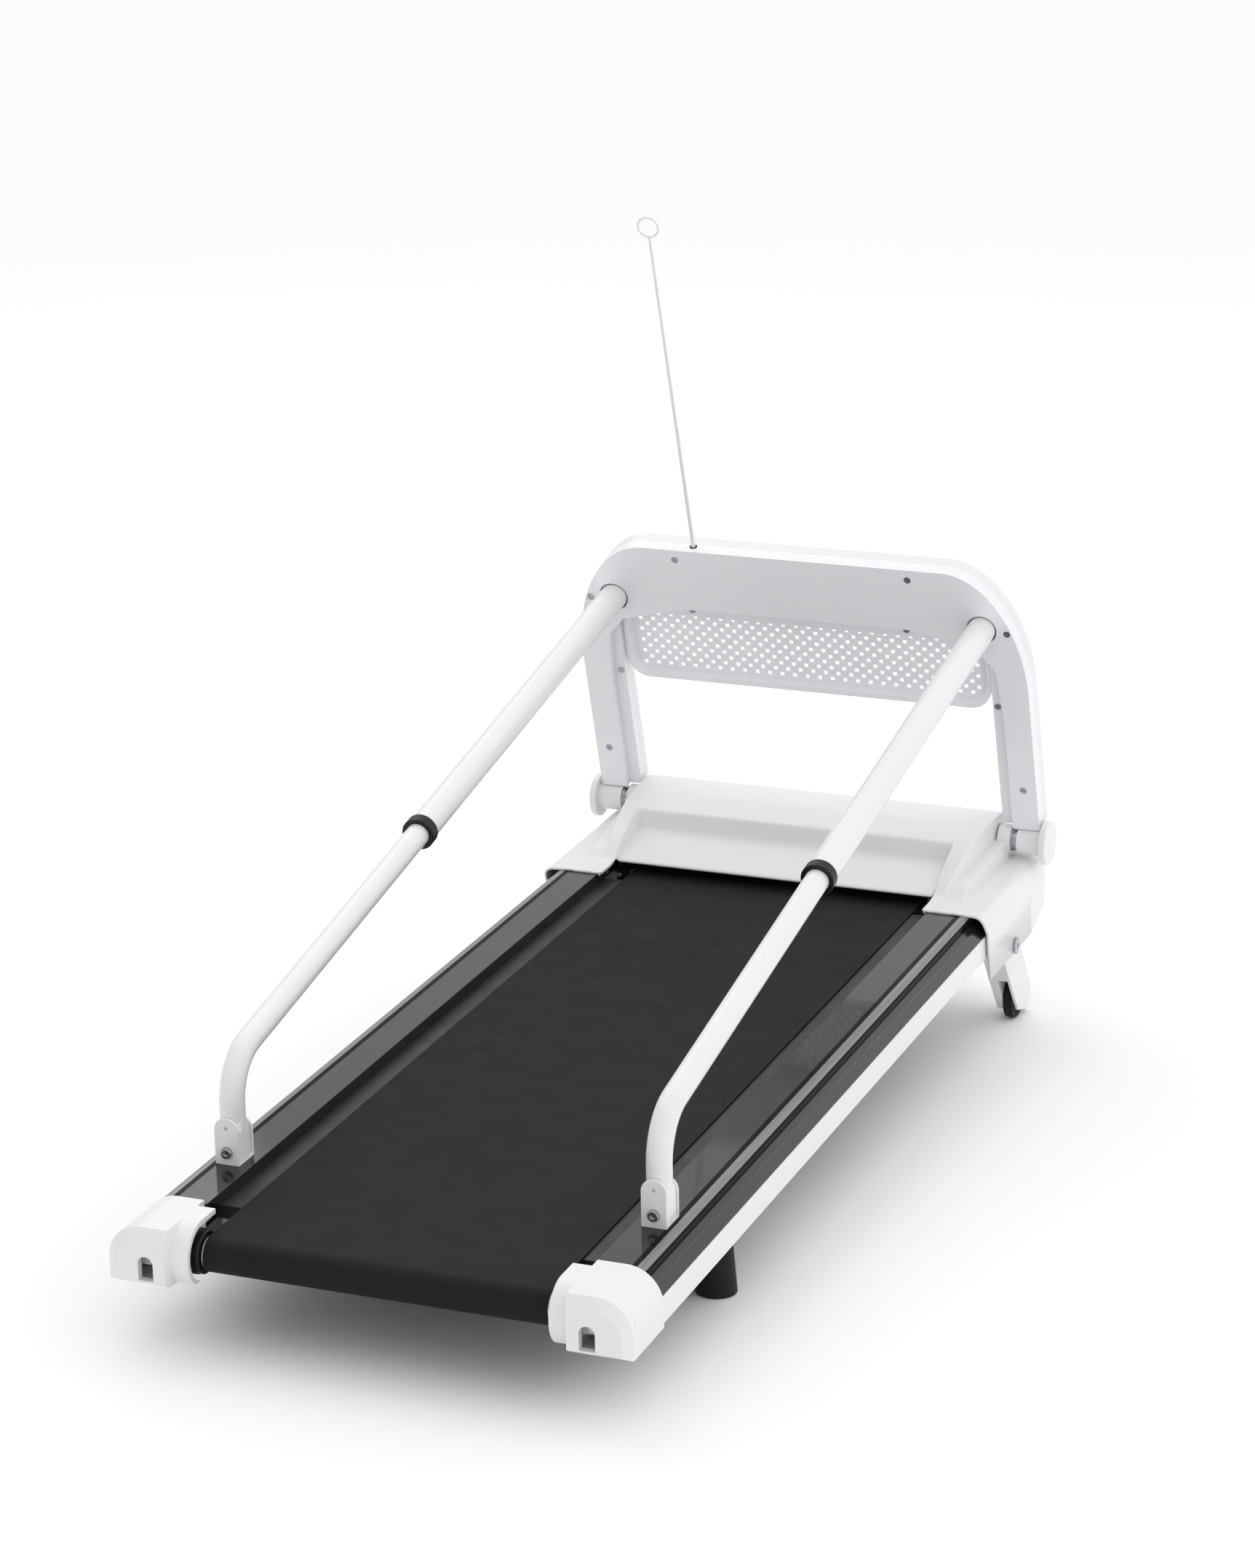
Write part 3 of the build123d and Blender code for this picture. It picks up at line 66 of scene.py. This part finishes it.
# ---- frames of reference ------------------------------------------------------------------
# DECK takes the CAD source's deck frame, in millimetres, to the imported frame: its hinge line
# goes to the hinge pins. HOOP does the same for the hoop's own leaning plane at rest.
INCLINE = math.radians(2.8)
HOOP_LEAN = math.radians(15.7)
HINGE_Y, HINGE_Z = 1192.0, 23.5
pin_low, pin_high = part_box("hinge_pins")
pin_y = (pin_low.y + pin_high.y) / 2
pin_z = (pin_low.z + pin_high.z) / 2
COS, SIN = math.cos(INCLINE), math.sin(INCLINE)
hinge_forward = (HINGE_Y * COS - HINGE_Z * SIN) / 1000
hinge_up = (HINGE_Y * SIN + HINGE_Z * COS) / 1000
DECK = Matrix.Translation((0, pin_y - hinge_forward, pin_z - hinge_up))
DECK = DECK @ Matrix.Rotation(INCLINE, 4, "X") @ Matrix.Scale(0.001, 4)
HOOP = DECK @ Matrix.Translation((0, HINGE_Y, HINGE_Z)) @ Matrix.Rotation(HOOP_LEAN, 4, "X")
UNHOOP = HOOP.inverted()


# ---- camera, surroundings and light -------------------------------------------------------
CAMERA_LENS, CAMERA_SENSOR = 97.506, 36.0
CAMERA_PLACE = (1.58579, -3.9521908, 1.61477809)
CAMERA_TURN = (74.1427, 0.09247, 21.83752)
BRIGHT_SIDE = (0.52, 0.30, 0.80)
DIM_END, BRIGHT_END = -0.7, 0.9
DIM_STRENGTH, BRIGHT_STRENGTH = 0.40, 1.19


def make_camera():
    """The photo's camera; lens and sensor are in millimetres, the turn in degrees."""
    data = bpy.data.cameras.new("camera")
    data.lens = CAMERA_LENS
    data.sensor_width = CAMERA_SENSOR
    data.clip_end = 200
    cam = bpy.data.objects.new("camera", data)
    cam.location = CAMERA_PLACE
    cam.rotation_euler = [math.radians(a) for a in CAMERA_TURN]
    bpy.context.scene.collection.objects.link(cam)
    bpy.context.scene.camera = cam


def make_world():
    """A studio that grows brighter towards BRIGHT_SIDE."""
    world = bpy.data.worlds.new("studio")
    bpy.context.scene.world = world
    world.use_nodes = True
    nodes, links = world.node_tree.nodes, world.node_tree.links
    nodes.clear()
    coord = nodes.new("ShaderNodeTexCoord")
    sweep = nodes.new("ShaderNodeVectorMath")
    sweep.operation = "DOT_PRODUCT"
    sweep.inputs[1].default_value = BRIGHT_SIDE
    ramp = nodes.new("ShaderNodeMapRange")
    ramp.inputs["From Min"].default_value = DIM_END
    ramp.inputs["From Max"].default_value = BRIGHT_END
    ramp.inputs["To Min"].default_value = DIM_STRENGTH
    ramp.inputs["To Max"].default_value = BRIGHT_STRENGTH
    back = nodes.new("ShaderNodeBackground")
    back.inputs["Color"].default_value = (0.985, 0.99, 1.0, 1)
    out = nodes.new("ShaderNodeOutputWorld")
    links.new(coord.outputs["Generated"], sweep.inputs[0])
    links.new(sweep.outputs["Value"], ramp.inputs["Value"])
    links.new(ramp.outputs["Result"], back.inputs["Strength"])
    links.new(back.outputs[0], out.inputs["Surface"])


def make_light(name, location, aim, size, power):
    data = bpy.data.lights.new(name, "AREA")
    data.shape = "RECTANGLE"
    data.size, data.size_y = size
    data.energy = power
    light = bpy.data.objects.new(name, data)
    light.location = location
    light.rotation_euler = (Vector(aim) - Vector(location)).to_track_quat("-Z", "Y").to_euler()
    bpy.context.scene.collection.objects.link(light)


make_camera()
make_world()
make_light("key", location=(-2.4, 1.6, 3.6), aim=(0.0, 0.0, 0.1), size=(3.6, 3.6), power=32)
bpy.context.scene.view_settings.view_transform = "Standard"


# ---- materials ----------------------------------------------------------------------------
def noise_node(tree, coord, scale, detail, roughness=0.5):
    node = tree.nodes.new("ShaderNodeTexNoise")
    node.inputs["Scale"].default_value = scale
    node.inputs["Detail"].default_value = detail
    node.inputs["Roughness"].default_value = roughness
    tree.links.new(coord, node.inputs["Vector"])
    return node.outputs["Fac"]


def map_node(tree, value, low, high, start=0.3, end=0.7):
    node = tree.nodes.new("ShaderNodeMapRange")
    for key, number in (("From Min", start), ("From Max", end), ("To Min", low), ("To Max", high)):
        node.inputs[key].default_value = number
    tree.links.new(value, node.inputs["Value"])
    return node.outputs["Result"]


def blend_node(tree, value, first, second):
    node = tree.nodes.new("ShaderNodeMix")
    node.data_type = "RGBA"
    node.inputs[6].default_value = (*first, 1)
    node.inputs[7].default_value = (*second, 1)
    tree.links.new(value, node.inputs[0])
    return node.outputs[2]


def bump_node(tree, height, distance, strength=1.0, base=None):
    node = tree.nodes.new("ShaderNodeBump")
    node.inputs["Distance"].default_value = distance
    node.inputs["Strength"].default_value = strength
    tree.links.new(height, node.inputs["Height"])
    if base is not None:
        tree.links.new(base, node.inputs["Normal"])
    return node.outputs["Normal"]


def wave_node(tree, coord, direction, scale):
    node = tree.nodes.new("ShaderNodeTexWave")
    node.bands_direction = direction
    node.inputs["Scale"].default_value = scale
    node.inputs["Distortion"].default_value = 0.0
    node.inputs["Detail"].default_value = 0.0
    tree.links.new(coord, node.inputs["Vector"])
    return node.outputs["Fac"]


def math_node(tree, kind, first, second):
    node = tree.nodes.new("ShaderNodeMath")
    node.operation = kind
    for socket, value in zip(node.inputs, (first, second)):
        if isinstance(value, (int, float)):
            socket.default_value = value
        else:
            tree.links.new(value, socket)
    return node.outputs[0]


def base_material(name):
    mat = bpy.data.materials.new(name)
    mat.use_nodes = True
    tree = mat.node_tree
    shader = tree.nodes["Principled BSDF"]
    coord = tree.nodes.new("ShaderNodeTexCoord").outputs["Object"]
    return mat, tree, shader, coord


def surface(
    name, first, second, rough, grain, depth,
    metallic=0.0, coat=0.0, patch=7.0, alpha=1.0, swing=0.18, spec=0.5, detail=3.0,
):
    """Two close tints in soft patches, a roughness that varies, and a fine grain in the bump.

    The roughness goes from rough less its share swing to rough plus that share.
    """
    mat, tree, shader, coord = base_material(name)
    patches = map_node(tree, noise_node(tree, coord, patch, detail), 0, 1, 0.2, 0.8)
    tree.links.new(blend_node(tree, patches, first, second), shader.inputs["Base Color"])
    smear = noise_node(tree, coord, patch * 4, detail)
    wear = map_node(tree, smear, rough * (1 - swing), rough * (1 + swing), 0.2, 0.8)
    tree.links.new(wear, shader.inputs["Roughness"])
    fine = bump_node(tree, noise_node(tree, coord, grain, 1.0), depth)
    tree.links.new(fine, shader.inputs["Normal"])
    shader.inputs["Metallic"].default_value = metallic
    shader.inputs["Specular IOR Level"].default_value = spec
    shader.inputs["Coat Weight"].default_value = coat
    shader.inputs["Coat Roughness"].default_value = 0.08
    shader.inputs["Alpha"].default_value = alpha
    return mat


BELT_RIBS = 210.0


def belt_material():
    """Woven running surface: warp and weft ridges under a fine grit, with slight wear patches."""
    mat, tree, shader, coord = base_material("belt_weave")
    patches = map_node(tree, noise_node(tree, coord, 5.0, 5.0), 0, 1)
    tint = blend_node(tree, patches, (0.0092, 0.0092, 0.0096), (0.0102, 0.0102, 0.0106))
    tree.links.new(tint, shader.inputs["Base Color"])
    weft = wave_node(tree, coord, "X", BELT_RIBS)
    warp = wave_node(tree, coord, "Y", BELT_RIBS)
    weave = math_node(tree, "MULTIPLY", weft, warp)
    ridge = bump_node(tree, weave, 0.0002, 0.6)
    grit = bump_node(tree, noise_node(tree, coord, 900.0, 2.0), 0.0002, 0.5, ridge)
    tree.links.new(grit, shader.inputs["Normal"])
    tree.links.new(map_node(tree, noise_node(tree, coord, 30.0, 1.0), 0.66, 0.72), shader.inputs["Roughness"])
    shader.inputs["Specular IOR Level"].default_value = 0.18
    return mat


def brushed_material(name, first, second, rough, direction):
    """Metal with fine scratches along one way."""
    mat, tree, shader, coord = base_material(name)
    stretch = tree.nodes.new("ShaderNodeMapping")
    stretch.inputs["Scale"].default_value = direction
    tree.links.new(coord, stretch.inputs["Vector"])
    lines = noise_node(tree, stretch.outputs["Vector"], 60.0, 4.0, 0.7)
    tree.links.new(blend_node(tree, map_node(tree, lines, 0, 1), first, second), shader.inputs["Base Color"])
    tree.links.new(map_node(tree, lines, rough * 0.7, rough * 1.4), shader.inputs["Roughness"])
    tree.links.new(bump_node(tree, lines, 0.00006), shader.inputs["Normal"])
    shader.inputs["Metallic"].default_value = 1.0
    return mat


BLACK_GLOSS_TINTS = (0.006, 0.006, 0.0065), (0.009, 0.009, 0.0095)
# Lines along a rail, in metres: the distance from the deck's middle and the half width.
RAIL_BEAD = 0.2371, 0.0028
# The next line places the pale band of painted reflection along the rail's shoulder.
RAIL_PAINTED_REFLECTION = 0.2447, 0.0045
RAIL_SEAM = 0.2503, 0.0010


def line_mask(tree, across, line):
    """One on a line along the rail, given by its distance from the deck's middle and half width."""
    mask = math_node(tree, "COMPARE", across, line[0])
    mask.node.inputs[2].default_value = line[1]
    return mask


def rail_material():
    """Glossy black rail with a dark bead, a pale band of painted reflection and a dark seam along its length.
    """
    mat = surface("rail_gloss", *BLACK_GLOSS_TINTS, 0.07, 300, 0.000002)
    tree = mat.node_tree
    shader = tree.nodes["Principled BSDF"]
    coord = tree.nodes.new("ShaderNodeTexCoord").outputs["Object"]
    split = tree.nodes.new("ShaderNodeSeparateXYZ")
    tree.links.new(coord, split.inputs[0])
    across = math_node(tree, "ABSOLUTE", split.outputs["X"], 0.0)
    painted_reflection = line_mask(tree, across, RAIL_PAINTED_REFLECTION)
    dark = math_node(tree, "MAXIMUM", line_mask(tree, across, RAIL_BEAD), line_mask(tree, across, RAIL_SEAM))
    old = shader.inputs["Base Color"].links[0].from_socket
    mix = tree.nodes.new("ShaderNodeMix")
    mix.data_type = "RGBA"
    # Pale grey of the painted reflection on the rail.
    mix.inputs[7].default_value = (0.20, 0.20, 0.205, 1)
    tree.links.new(painted_reflection, mix.inputs[0])
    tree.links.new(old, mix.inputs[6])
    tree.links.new(mix.outputs[2], shader.inputs["Base Color"])
    tree.links.new(map_node(tree, dark, 0.5, 0.03, 0.0, 1.0), shader.inputs["Specular IOR Level"])
    return mat


MATS = {
    "white_gloss": surface(
        "white_gloss", (0.815, 0.818, 0.822), (0.828, 0.83, 0.833), 0.30, 900, 0.0000012,
        swing=0.09, detail=0.5,
    ),
    "white_satin": surface(
        "white_satin", (0.872, 0.88, 0.895), (0.885, 0.892, 0.905), 0.32, 900, 0.0000015, detail=0.5
    ),
    "white_paint": surface(
        "white_paint", (0.815, 0.815, 0.82), (0.828, 0.828, 0.832), 0.21, 900, 0.0000012,
        swing=0.09, detail=0.5,
    ),
    "black_gloss": surface("black_gloss", *BLACK_GLOSS_TINTS, 0.07, 300, 0.000002, coat=0.12),
    "belt_black": belt_material(),
    "black_plastic": surface(
        "black_plastic", (0.006, 0.006, 0.006), (0.009, 0.009, 0.009), 0.42, 900, 0.00005, spec=0.3
    ),
    "black_rubber": surface(
        "black_rubber", (0.006, 0.006, 0.006), (0.011, 0.011, 0.011), 0.6, 500, 0.0001, spec=0.25
    ),
    "board": surface("board", (0.010, 0.010, 0.010), (0.016, 0.016, 0.016), 0.5, 300, 0.00005),
    "steel": brushed_material("steel", (0.50, 0.50, 0.52), (0.62, 0.62, 0.64), 0.28, (0.4, 8.0, 8.0)),
    "chrome": surface(
        "chrome", (0.40, 0.40, 0.42), (0.48, 0.48, 0.50), 0.14, 200, 0.00001, metallic=1.0
    ),
    "screw_grey": surface(
        "screw_grey", (0.36, 0.37, 0.40), (0.46, 0.47, 0.50), 0.34, 900, 0.00004, metallic=0.85
    ),
    "iron": surface("iron", (0.10, 0.10, 0.11), (0.15, 0.15, 0.16), 0.45, 260, 0.00008, metallic=0.9),
    "tray_clear": surface(
        "tray_clear", (0.80, 0.81, 0.83), (0.86, 0.87, 0.89), 0.30, 240, 0.00003, alpha=0.62, swing=0.09
    ),
    "pan_grey": surface("pan_grey", (0.52, 0.53, 0.55), (0.58, 0.59, 0.61), 0.45, 700, 0.00005),
}


def slot_of(node):
    """The record's material slot of a CAD node."""
    for part in frame["record"]["subparts"]:
        if part["node"] == node:
            return part["material_slot"]
    return "white_gloss"


RAIL = rail_material()


def put_material(obj, mat):
    """Give an object one finish; the rails have theirs, with its pale band of painted reflection, in every
    copy.
    """
    if obj.name.startswith("side_rail"):
        mat = RAIL
    obj.data.materials.clear()
    obj.data.materials.append(mat)


for node_name, node in NODES.items():
    put_material(node, MATS[slot_of(node_name)])


# ---- mesh helpers -------------------------------------------------------------------------
CREASE = math.radians(32.0)
CAD_WELD, BEVEL_WELD = 2e-6, 1e-6
FLAT = math.radians(1.0)


def smooth(mesh, angle=35.0):
    for poly in mesh.polygons:
        poly.use_smooth = True
    mesh.set_sharp_from_angle(angle=math.radians(angle))


def add_piece(name, mesh, node, matrix=None, slot=None):
    """Link a mesh as the shown piece of a CAD node: same body, same finish."""
    if matrix is not None:
        mesh.transform(matrix)
    obj = bpy.data.objects.new(name, mesh)
    bpy.context.scene.collection.objects.link(obj)
    put_material(obj, MATS[slot or slot_of(node)])
    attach(obj, NODES[node]["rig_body"])
    return obj


def dressed(node, width, segments=3, pick=None):
    """Show a CAD node as a copy with its sharp edges rounded; pick chooses edges by their ends."""
    mesh = NODES[node].data.copy()
    work = bmesh.new()
    work.from_mesh(mesh)
    bmesh.ops.remove_doubles(work, verts=work.verts, dist=CAD_WELD)
    bmesh.ops.dissolve_limit(work, angle_limit=FLAT, verts=work.verts, edges=work.edges)
    sharp = []
    for edge in work.edges:
        if len(edge.link_faces) != 2 or edge.calc_face_angle(0) < CREASE:
            continue
        if pick is None or pick(edge.verts[0].co, edge.verts[1].co):
            sharp.append(edge)
    if sharp:
        bmesh.ops.bevel(
            work, geom=sharp, offset=width / 1000, segments=segments, profile=0.5,
            affect="EDGES", clamp_overlap=True, offset_type="OFFSET",
        )
    bmesh.ops.remove_doubles(work, verts=work.verts, dist=BEVEL_WELD)
    work.to_mesh(mesh)
    work.free()
    mesh.materials.clear()
    obj = add_piece(node + "_skin", mesh, node)
    smooth(mesh)
    even = obj.modifiers.new("even", "WEIGHTED_NORMAL")
    even.keep_sharp = True
    even.weight = 80
    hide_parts(node)


def grid_mesh(name, rows, closed=False):
    """A sheet of quads through rows of points, all rows the same length."""
    verts = [tuple(p) for row in rows for p in row]
    count = len(rows[0])
    faces = []
    for r in range(len(rows) - 1):
        for c in range(count if closed else count - 1):
            d = (c + 1) % count
            faces.append((r * count + c, r * count + d, (r + 1) * count + d, (r + 1) * count + c))
    mesh = bpy.data.meshes.new(name)
    mesh.from_pydata(verts, [], faces)
    return mesh


# ---- hood ---------------------------------------------------------------------------------
# Lengths are millimetres in the deck frame. Each profile gives a height, or a distance from the
# middle, along Y. A station run is its start, its end and the step between its sections.
FINE_STEP = 0.5
FINE = np.arange(960.0, 1262.0, FINE_STEP)


def profile(points, blur):
    """A height table over Y, its corners rounded by the blur length."""
    ys, zs = zip(*points)
    raw = np.interp(FINE, ys, zs)
    reach = int(blur * 3 / FINE_STEP) + 1
    kernel = np.exp(-0.5 * (np.arange(-reach, reach + 1) * FINE_STEP / blur) ** 2)
    padded = np.pad(raw, reach, mode="edge")
    soft = np.convolve(padded, kernel / kernel.sum(), mode="valid")
    return lambda y: float(np.interp(y, FINE, soft))


cheek_z = profile(
    [
        (960, 2.8), (1012, 2.8), (1030, 5), (1044, 17), (1062, 27),
        (1084, 37), (1104, 44), (1150, 50), (1192, 52), (1262, 52),
    ],
    1.8,
)
recess_z = profile([(960, 2.6), (1031, 2.6), (1095, 22.5), (1101.5, 42.5), (1150, 66), (1262, 90)], 0.9)
terrace_z = profile(
    [(960, 2.8), (1028, 2.8), (1044, 14), (1110, 19.5), (1165, 25), (1200, 26), (1262, 26)], 2.5
)
trough_z = profile([(960, 2.8), (1050, 2.8), (1150, 3.6), (1200, 4.6), (1262, 4.6)], 4.0)
low_z = profile(
    [(960, -81), (1150, -81), (1160, -80), (1188, -73), (1222, -58), (1238, -43), (1246, -28), (1262, -28)],
    2.0,
)
fin_x = profile([(960, 207), (1044, 207), (1062, 211), (1120, 217), (1205, 222), (1262, 222)], 4.0)
step_x = profile([(960, 228), (1044, 228), (1165, 235), (1262, 236)], 4.0)
REAR_EDGE = [(-10, 985), (4, 986), (18, 993), (32, 1004), (40, 1005), (63, 1002), (80, 1007), (90, 1008)]
REAR_START, REAR_END = 985.0, 1200.0
RECESS_START = 1031.0
RECESS_HALF, CHEEK_INNER, LIP_X = 190.5, 195.0, 197.0
NOSE_Y, NOSE_Z, HOOD_FRONT, HOOD_SIDE = 1196.0, -10.0, 1246.0, 269.5
FRONT_CORNER, NOSE_SIDE_START = 30.0, 1162.0
STATION_RUNS = [
    (RECESS_START, 1086.0, 5.0), (1086.0, 1092.0, 1.5), (1092.0, 1112.0, 0.75), (1112.0, NOSE_Y, 6.0),
]
ARC_STEPS = 6
CHEEK_SKIP = 1 + (ARC_STEPS + 1)
HOOD_WELD, HOOD_WALL = 0.05, 2.4


def rear_y(z):
    """Y of the hood's rear edge at height z; REAR_EDGE goes by the depth below the rails' tops."""
    depths, ys = zip(*REAR_EDGE)
    return float(np.interp(-z, depths, ys))


def hood_corners(y):
    """Corner points and corner radii of the hood's right half at station y."""
    cheek, terrace, trough = cheek_z(y), min(terrace_z(y), cheek_z(y)), min(trough_z(y), cheek_z(y))
    recess = min(recess_z(y), cheek)
    fin, step = fin_x(y), step_x(y)
    side = HOOD_SIDE
    if y > HOOD_FRONT - FRONT_CORNER:
        side -= FRONT_CORNER - math.sqrt(max(0.0, FRONT_CORNER ** 2 - (y - HOOD_FRONT + FRONT_CORNER) ** 2))
    return [
        ((0, recess), 0),
        ((RECESS_HALF, recess), 3.2),
        ((CHEEK_INNER, cheek), 1.8),
        ((fin, cheek - 0.8), 1.0),
        ((fin + 1.0, terrace), 1.8),
        ((step, terrace - 0.6), 1.0),
        ((step + 1.2, trough), 2.4),
        ((side - 3, trough - 1.5), 19.0),
        ((side, trough - 26), 8.0),
        ((side, low_z(y)), 0),
    ]


def rounded(corners):
    """Points along a run of corners, each corner an arc with the same number of points."""
    points = [Vector(corners[0][0])]
    for i in range(1, len(corners) - 1):
        (here, radius) = corners[i]
        here, last, following = Vector(here), Vector(corners[i - 1][0]), Vector(corners[i + 1][0])
        back, ahead = last - here, following - here
        if back.length < 1e-4 or ahead.length < 1e-4 or radius == 0:
            points.extend([here] * (ARC_STEPS + 1))
            continue
        u, v = back.normalized(), ahead.normalized()
        half = math.acos(max(-1, min(1, u.dot(v)))) / 2
        reach = min(radius / max(math.tan(half), 1e-6), back.length * 0.48, ahead.length * 0.48)
        start, end = here + u * reach, here + v * reach
        for k in range(ARC_STEPS + 1):
            t = k / ARC_STEPS
            points.append(start * (1 - t) ** 2 + here * 2 * t * (1 - t) + end * t * t)
    points.append(Vector(corners[-1][0]))
    return points


def hood_row(y, skip=0):
    """Section of the hood at station y, from its point number skip to the skirt's hem.

    Rear stations are shifted, so that the first lies along the rear edge, and the nose is rounded.
    """
    row = []
    for x, z in rounded(hood_corners(y))[skip:]:
        if y > NOSE_Y:
            fall = math.sqrt(max(0.0, 1 - ((y - NOSE_Y) / (HOOD_FRONT - NOSE_Y)) ** 2))
            if z > NOSE_Z:
                z = NOSE_Z + (z - NOSE_Z) * fall
        edge = rear_y(z)
        if y < REAR_END:
            shifted = edge + (y - REAR_START) * (REAR_END - edge) / (REAR_END - REAR_START)
        else:
            shifted = y
        row.append((x, shifted, z))
    return row


def make_hood():
    """The hood's shell: the main sheet, the cheeks rearward of it and the nose's front, mirrored."""
    stations = [y for run in STATION_RUNS for y in np.arange(*run)]
    stations += [NOSE_Y + (HOOD_FRONT - NOSE_Y) * math.sin(math.radians(a)) for a in range(0, 91, 6)]
    rear = list(np.arange(REAR_START, RECESS_START, 4.0)) + [RECESS_START]
    main = [hood_row(y) for y in stations]
    cheeks = []
    for y in rear:
        row = hood_row(y, CHEEK_SKIP)
        lip = (LIP_X, row[0][1], -2.5 if y < RECESS_START else 2.0)
        cheeks.append([lip] + row)
    front = main[-1]
    across = [p[0] for p in front if p[2] > NOSE_Z - 0.001]
    tail = [p for p in front if p[2] <= NOSE_Z - 0.001]
    across[-1] = tail[0][0]
    nose = [[(x, HOOD_FRONT, NOSE_Z) for x in across]]
    nose += [[(x, HOOD_FRONT, p[2]) for x in across] for p in tail]
    for row in reversed(main[:-1]):
        x, y, z = row[-1]
        if y > NOSE_SIDE_START:
            nose.append([(a * x / across[-1], y, z) for a in across])
    sheets = [grid_mesh("hood_main", main), grid_mesh("hood_cheek", cheeks), grid_mesh("hood_nose", nose)]
    work = bmesh.new()
    for sheet in sheets:
        work.from_mesh(sheet)
        sheet.transform(Matrix.Diagonal((-1, 1, 1, 1)))
        sheet.flip_normals()
        work.from_mesh(sheet)
    bmesh.ops.remove_doubles(work, verts=work.verts, dist=HOOD_WELD)
    bmesh.ops.recalc_face_normals(work, faces=work.faces)
    mesh = bpy.data.meshes.new("hood_shell")
    work.to_mesh(mesh)
    work.free()
    obj = add_piece("hood_shell", mesh, "hood", DECK)
    smooth(mesh, 50)
    skin = obj.modifiers.new("skin", "SOLIDIFY")
    skin.thickness = HOOD_WALL / 1000
    skin.offset = -1
    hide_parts("hood")


make_hood()


# ---- rounded copies of the CAD pieces -----------------------------------------------------
# Places in the hoop's plane: distance from the middle and height above the hinge line. The last
# of the screws' places is the rod's.
HOOP_SPLIT = -14.0
SCREW_SPOTS = [(140.5, 343.0), (257.0, 72.0), (252.9, 282.8), (130.4, 270.9), (231.9, 178.2), (120.0, 356.0)]
SCREW_ROOM = 7.0
TUBE_SPOT, TUBE_ROOM = (223.5, 286.0), 19.5


def hoop_edge(first, second):
    """True for the hoop covers' outline edges, away from their split, screws, rod and tubes."""
    for point in (first, second):
        x, off, w = UNHOOP @ point
        if abs(off - HOOP_SPLIT) < 0.5:
            return False
        if min(math.hypot(abs(x) - a, w - b) for a, b in SCREW_SPOTS) < SCREW_ROOM:
            return False
        if math.hypot(abs(x) - TUBE_SPOT[0], w - TUBE_SPOT[1]) < TUBE_ROOM:
            return False
    return True


dressed("hoop_rear_cover", 2.2, 4, hoop_edge)
dressed("hoop_front_cover", 3.0, 4, hoop_edge)
for name, width in {
    "side_rail_right": 0.6, "side_rail_left": 0.6, "frame_beam_right": 2.2, "frame_beam_left": 2.2,
    "rear_cap_right": 2.4, "rear_cap_left": 2.4, "rear_feet": 1.5, "tube_brackets": 0.5,
    "tube_collar_right": 0.8, "tube_collar_left": 0.8, "hinge_brackets": 1.2, "hoop_frame": 1.0,
    "hinge_caps": 0.8, "front_leg_right": 1.6, "front_leg_left": 1.6, "front_wheel_right": 1.6,
    "front_wheel_left": 1.6, "bracket_screws": 0.5, "leg_bolts": 0.7, "base_pan": 0.8, "hoop_screws": 0.25,
}.items():
    dressed(name, width)


# ---- plugs in the rear shrouds, dark pieces of painted shade ------------------------------
ROLLER_Y, ROLLER_Z = -42.0, -29.1
PLUG_SIDES = 72


def make_shade_plug(sign):
    """Dark turned plug that closes the shroud's mouth round the roller's fixed axle; its black stands in for
    the shade inside the shroud's hollow.
    """
    outline = [(179.5, 7.2), (179.5, 20.4), (180.4, 21.3), (183.5, 21.3), (184.2, 20.6), (186.0, 20.6)]
    outline += [(186.7, 22.3), (197.0, 22.3), (197.6, 21.6), (197.6, 7.2)]
    rows = []
    for step in range(PLUG_SIDES):
        angle = math.radians(step * 360 / PLUG_SIDES)
        forward, up = math.cos(angle), math.sin(angle)
        rows.append([(sign * x, ROLLER_Y + r * forward, ROLLER_Z + r * up) for x, r in outline])
    rows.append(rows[0])
    mesh = grid_mesh("plug", rows, closed=True)
    work = bmesh.new()
    work.from_mesh(mesh)
    bmesh.ops.remove_doubles(work, verts=work.verts, dist=0.01)
    bmesh.ops.recalc_face_normals(work, faces=work.faces)
    work.to_mesh(mesh)
    work.free()
    name = "roller_shade_plug_right" if sign > 0 else "roller_shade_plug_left"
    add_piece(name, mesh, "rear_cap_right", DECK, "black_plastic")
    smooth(mesh, 40)


make_shade_plug(1)
make_shade_plug(-1)

# ---- floor --------------------------------------------------------------------------------
FLOOR_DROP = 0.0005
floor_mesh = bpy.data.meshes.new("floor")
floor_mesh.from_pydata([(-60, -40, 0), (60, -40, 0), (60, 90, 0), (-60, 90, 0)], [], [(0, 1, 2, 3)])
floor = bpy.data.objects.new("floor", floor_mesh)
floor.location.z = -FLOOR_DROP
bpy.context.scene.collection.objects.link(floor)
floor_white = surface(
    "floor_white", (0.965, 0.965, 0.968), (0.975, 0.975, 0.978), 0.9, 30, 0.0, patch=0.7, spec=0.05
)
put_material(floor, floor_white)
